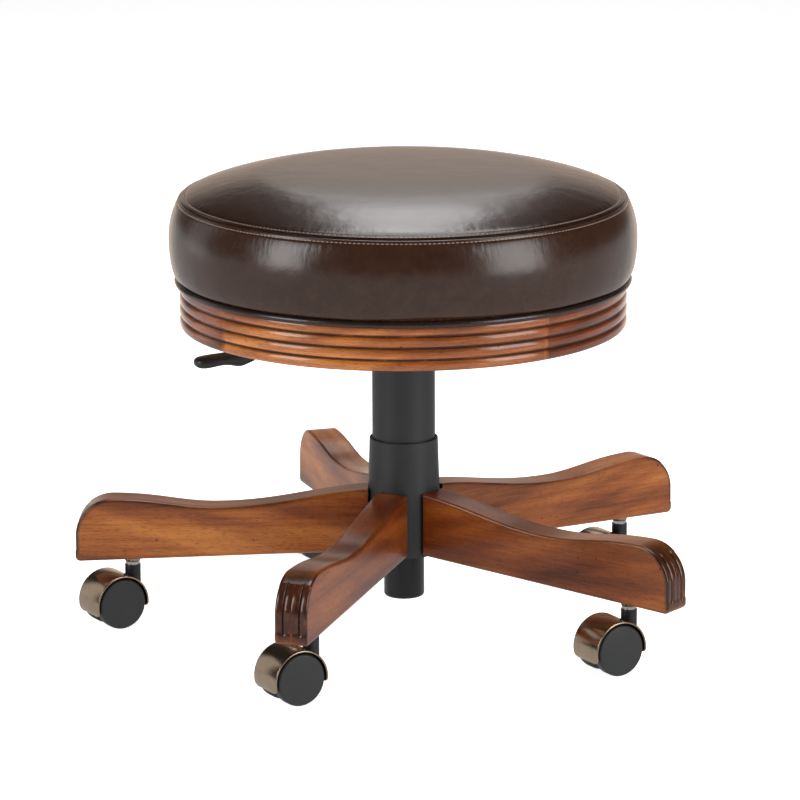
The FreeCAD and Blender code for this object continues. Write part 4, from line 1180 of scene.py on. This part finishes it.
low = HOOD_INNER + HOOD_EDGE
high = HOOD_INNER + HOOD_WALL - HOOD_EDGE
rim = WHEEL_OUTER - HOOD_EDGE
section = []
for index, pivot in enumerate([(high, rim), (high, -rim), (low, -rim), (low, rim)]):
    section.extend(arc(pivot, HOOD_EDGE, 90 - 90 * index, -90 * index, 4))
hood = spin("hood", [*section, section[0]], 84, HOOD_SWEEP)
weld()
for side in (True, False):
    cap(lambda edge: (abs(edge.verts[0].co.y) < 1e-6) == side)
close_up()
print("hood of", len(hood.data.polygons), "faces")

# %% Round the hood's corners and cut the hole for the collar
COLLAR_HOLE = 8.4
CUTTER_LENGTH = 60.0

places = points_of(hood) / MM
angle = np.mod(-angle_of(places) + 0.01, 2 * math.pi) - 0.01
way = np.maximum(np.minimum(angle, HOOD_SWEEP - angle), 0) * (HOOD_INNER + HOOD_WALL)
short = np.clip(HOOD_CORNER - way, 0, HOOD_CORNER)
half = WHEEL_OUTER - HOOD_CORNER + np.sqrt(HOOD_CORNER ** 2 - short ** 2)
places[:, 2] *= half / WHEEL_OUTER
move_points(hood, places * MM)
place(hood, AXLE @ Matrix.Rotation(math.radians(-HOOD_FRONT), 4, "Z"))
begin()
length = CUTTER_LENGTH * MM
bpy.ops.mesh.primitive_cylinder_add(
    vertices=48, radius=COLLAR_HOLE * MM, depth=length, location=(0, 0, length))
cutter = named("collar_cutter")
apply_modifier(hood, "BOOLEAN", object=cutter, operation="DIFFERENCE", solver="EXACT")
bpy.data.objects.remove(cutter)
shade(hood, 40)
print("hood of", len(hood.data.polygons), "faces with its hole")

# %% Model a serrated socket ring
SOCKET_BORE = 5.6
SOCKET_SLEEVE = 6.5
SOCKET_FLANGE = 7.6
SOCKET_FOOT = 62.7
SOCKET_TOP = 102.7
SOCKET_CHAMFER = 0.4
TEETH = 22
TOOTH_DEPTH = 0.8
TOOTH_HEIGHT = 2.4

profile = [
    (SOCKET_BORE, SOCKET_FOOT),
    (SOCKET_FLANGE - SOCKET_CHAMFER, SOCKET_FOOT), (SOCKET_FLANGE, SOCKET_FOOT + SOCKET_CHAMFER),
    (SOCKET_FLANGE, SOCKET_FOOT + TOOTH_HEIGHT), (SOCKET_FLANGE, LEG_SEAT), (SOCKET_SLEEVE, LEG_SEAT),
    (SOCKET_SLEEVE, SOCKET_TOP), (SOCKET_BORE, SOCKET_TOP), (SOCKET_BORE, SOCKET_FOOT),
]
socket = spin("socket", profile, 4 * TEETH)
close_up()
# the flange under the leg is notched between its teeth
places = points_of(socket) / MM
reach = reach_of(places)
phase = np.cos(TEETH * angle_of(places))
rim = (reach > SOCKET_SLEEVE + 0.3) & (places[:, 2] < SOCKET_FOOT + TOOTH_HEIGHT - 0.1)
drawn = reach - TOOTH_DEPTH * np.where(rim, 0.5 - 0.5 * phase, 0)
places[:, :2] *= (drawn / reach)[:, None]
move_points(socket, places * MM)
shade(socket, 30)
print("socket ring of", len(socket.data.polygons), "faces")

# %% [markdown]
# ## Metal and plastic
# The hub and cover are powder coated, the gas-lift tube is glossier enamel, the caster hoods are bronze
# plate, and wheels and lever are moulded plastic. None is one flat colour: coats have a fine orange peel,
# plate has brushed streaks and tarnish, and mouldings have a spark-eroded grain.


# %% Coats, plates and mouldings
def coat(name, deep, pale, roughness, peel):
    """A paint or moulding with a faint mottle and a fine surface grain."""
    finish, spot = new_finish(name)
    mottle = spot.noise(26.0, 3.0, 0.6)
    grain = spot.noise(peel, 3.0, 0.65)
    close_finish(spot, {
        "Base Color": mottle.over(deep, pale),
        "Roughness": roughness + grain * 0.12,
        "Normal": grain.bump(0.035 * MM, 0.35),
    })
    return finish


def plate(name, deep, pale, roughness):
    """Metal with fine brushing and tarnish."""
    finish, spot = new_finish(name)
    tarnish = spot.noise(60.0, 4.0, 0.6)
    brushing = spot.stretched(900.0, 900.0, 90.0).noise(1.0, 2.0, 0.5)
    close_finish(spot, {
        "Base Color": tarnish.over(deep, pale),
        "Metallic": 1.0,
        "Roughness": roughness + brushing * 0.08 + tarnish * 0.05,
        "Normal": brushing.bump(0.01 * MM, 0.2),
    })
    return finish


# %% Dress all nodes
plywood, spot = new_finish("plywood")
plies = spot.stretched(6.0, 60.0, 700.0).noise(1.0, 2.0, 0.5)
close_finish(spot, {
    "Base Color": plies.over(colour(168, 128, 84), colour(214, 180, 130)),
    "Roughness": 0.7,
    "Normal": plies.bump(0.1 * MM, 0.4),
})
finishes.update({
    "board_plywood": plywood,
    "black_powder_coat": coat("powder coat", colour(34, 35, 37), colour(42, 43, 45), 0.42, 900.0),
    "column_black": coat("column enamel", colour(7, 8, 9), colour(11, 12, 13), 0.26, 500.0),
    "bronze": plate("antique bronze", colour(156, 135, 113), colour(192, 171, 147), 0.14),
    "chrome": plate("chrome", colour(168, 168, 170), colour(204, 204, 206), 0.06),
    "steel": plate("ground steel", colour(140, 140, 142), colour(176, 176, 178), 0.28),
    "brass": plate("brass", colour(176, 138, 70), colour(206, 168, 96), 0.24),
    "caster_plastic": coat("caster nylon", colour(24, 25, 27), colour(32, 33, 35), 0.38, 1400.0),
    "wheel_plastic": coat("wheel nylon", colour(36, 37, 38), colour(44, 45, 46), 0.46, 1600.0),
    "lever_plastic": coat("lever plastic", colour(26, 27, 29), colour(36, 37, 39), 0.34, 1500.0),
    "white_plastic": coat("acetal", colour(214, 212, 204), colour(228, 226, 220), 0.4, 900.0),
    "rubber": coat("rubber", colour(26, 26, 26), colour(36, 36, 36), 0.6, 700.0),
    "foam": coat("foam", colour(206, 190, 146), colour(222, 208, 166), 0.9, 300.0),
})
for row in frame["record"]["subparts"]:
    node = frame["nodes"][row["node"]]
    node.data.materials.clear()
    node.data.materials.append(finishes[row["material_slot"]])
print("dressed", len(frame["nodes"]), "nodes")

# %% Set out the casters
HEADING = 213.0

rings = []
for number, degrees in LEG_ANGLES.items():
    turn = math.radians(degrees)
    stem = Matrix.Translation((CASTER_CIRCLE * MM * math.cos(turn), CASTER_CIRCLE * MM * math.sin(turn), 0))
    caster = stem @ Matrix.Rotation(math.radians(HEADING), 4, "Z")
    other_side = caster @ AXLE @ Matrix.Rotation(math.pi, 4, "X") @ AXLE.inverted()
    rings.append(twin(socket, f"socket_ring_{number}", stem))
    cover = twin(hood, f"bronze_hood_{number}", caster)
    fit(cover, "bronze", f"caster_{number}", f"caster_{number}_hood")
    for side, matrix in (("a", caster), ("b", other_side)):
        roller = twin(wheel, f"tread_wheel_{number}_{side}", matrix)
        fit(roller, "wheel_plastic", f"caster_{number}_roller_{side}", f"caster_{number}_wheel_{side}")
begin()
for ring in rings:
    ring.select_set(True)
bpy.context.view_layer.objects.active = rings[0]
bpy.ops.object.join()
fit(named("socket_rings"), "bronze", "base", "caster_sockets")
for model in (wheel, hood, socket):
    bpy.data.objects.remove(model)

# %% [markdown]
# ## Lever paddle
# The height lever ends in a moulded paddle: a thick root with a dropped heel, a neck, and a rounded blade
# for the fingers. A cylinder is divided along its length and each ring is set to the width and depth of the
# paddle there, and subdivision rounds it off.

# %% Shape the paddle
LEVER_ANGLE = 200.0
PADDLE_SQUARENESS = 0.72
# reach from the column, drop of the underside below the apron, depth, half width
PADDLE_RINGS = np.array([
    (150.0, 25.0, 13.6, 9.0),
    (159.0, 27.9, 14.8, 10.8),
    (169.0, 31.4, 16.0, 11.6),
    (174.0, 30.2, 14.0, 11.6),
    (184.0, 27.4, 10.0, 11.4),
    (195.0, 29.4, 11.6, 11.8),
    (205.0, 30.6, 12.0, 11.2),
    (211.0, 29.6, 10.0, 8.6),
    (213.8, 26.6, 4.0, 4.0),
])

begin()
bpy.ops.mesh.primitive_cylinder_add(vertices=16, radius=1.0, depth=1.0, rotation=(0, math.pi / 2, 0))
paddle = named("lever_blade")
place(paddle, paddle.matrix_world.copy())
edit(paddle)
pick("edges", lambda edge: abs(edge.verts[0].co.x - edge.verts[1].co.x) > 0.5)
bpy.ops.mesh.subdivide(number_cuts=len(PADDLE_RINGS) - 2)
begin()
places = points_of(paddle)
ring = np.rint((places[:, 0] + 0.5) * (len(PADDLE_RINGS) - 1)).astype(int)
reach, drop, depth, half = PADDLE_RINGS[ring].T
around = np.sign(places[:, 1:]) * np.abs(places[:, 1:]) ** PADDLE_SQUARENESS
level = APRON_BOTTOM - drop + depth / 2
move_points(paddle, np.column_stack([reach, half * around[:, 0], level + depth / 2 * around[:, 1]]) * MM)
apply_modifier(paddle, "SUBSURF", levels=2, render_levels=2)
shade(paddle, 60)
place(paddle, Matrix.Rotation(math.radians(LEVER_ANGLE), 4, "Z"))
fit(paddle, "lever_plastic", "lever", "lever_paddle")

# %% Leave edit mode and deselect everything
begin()
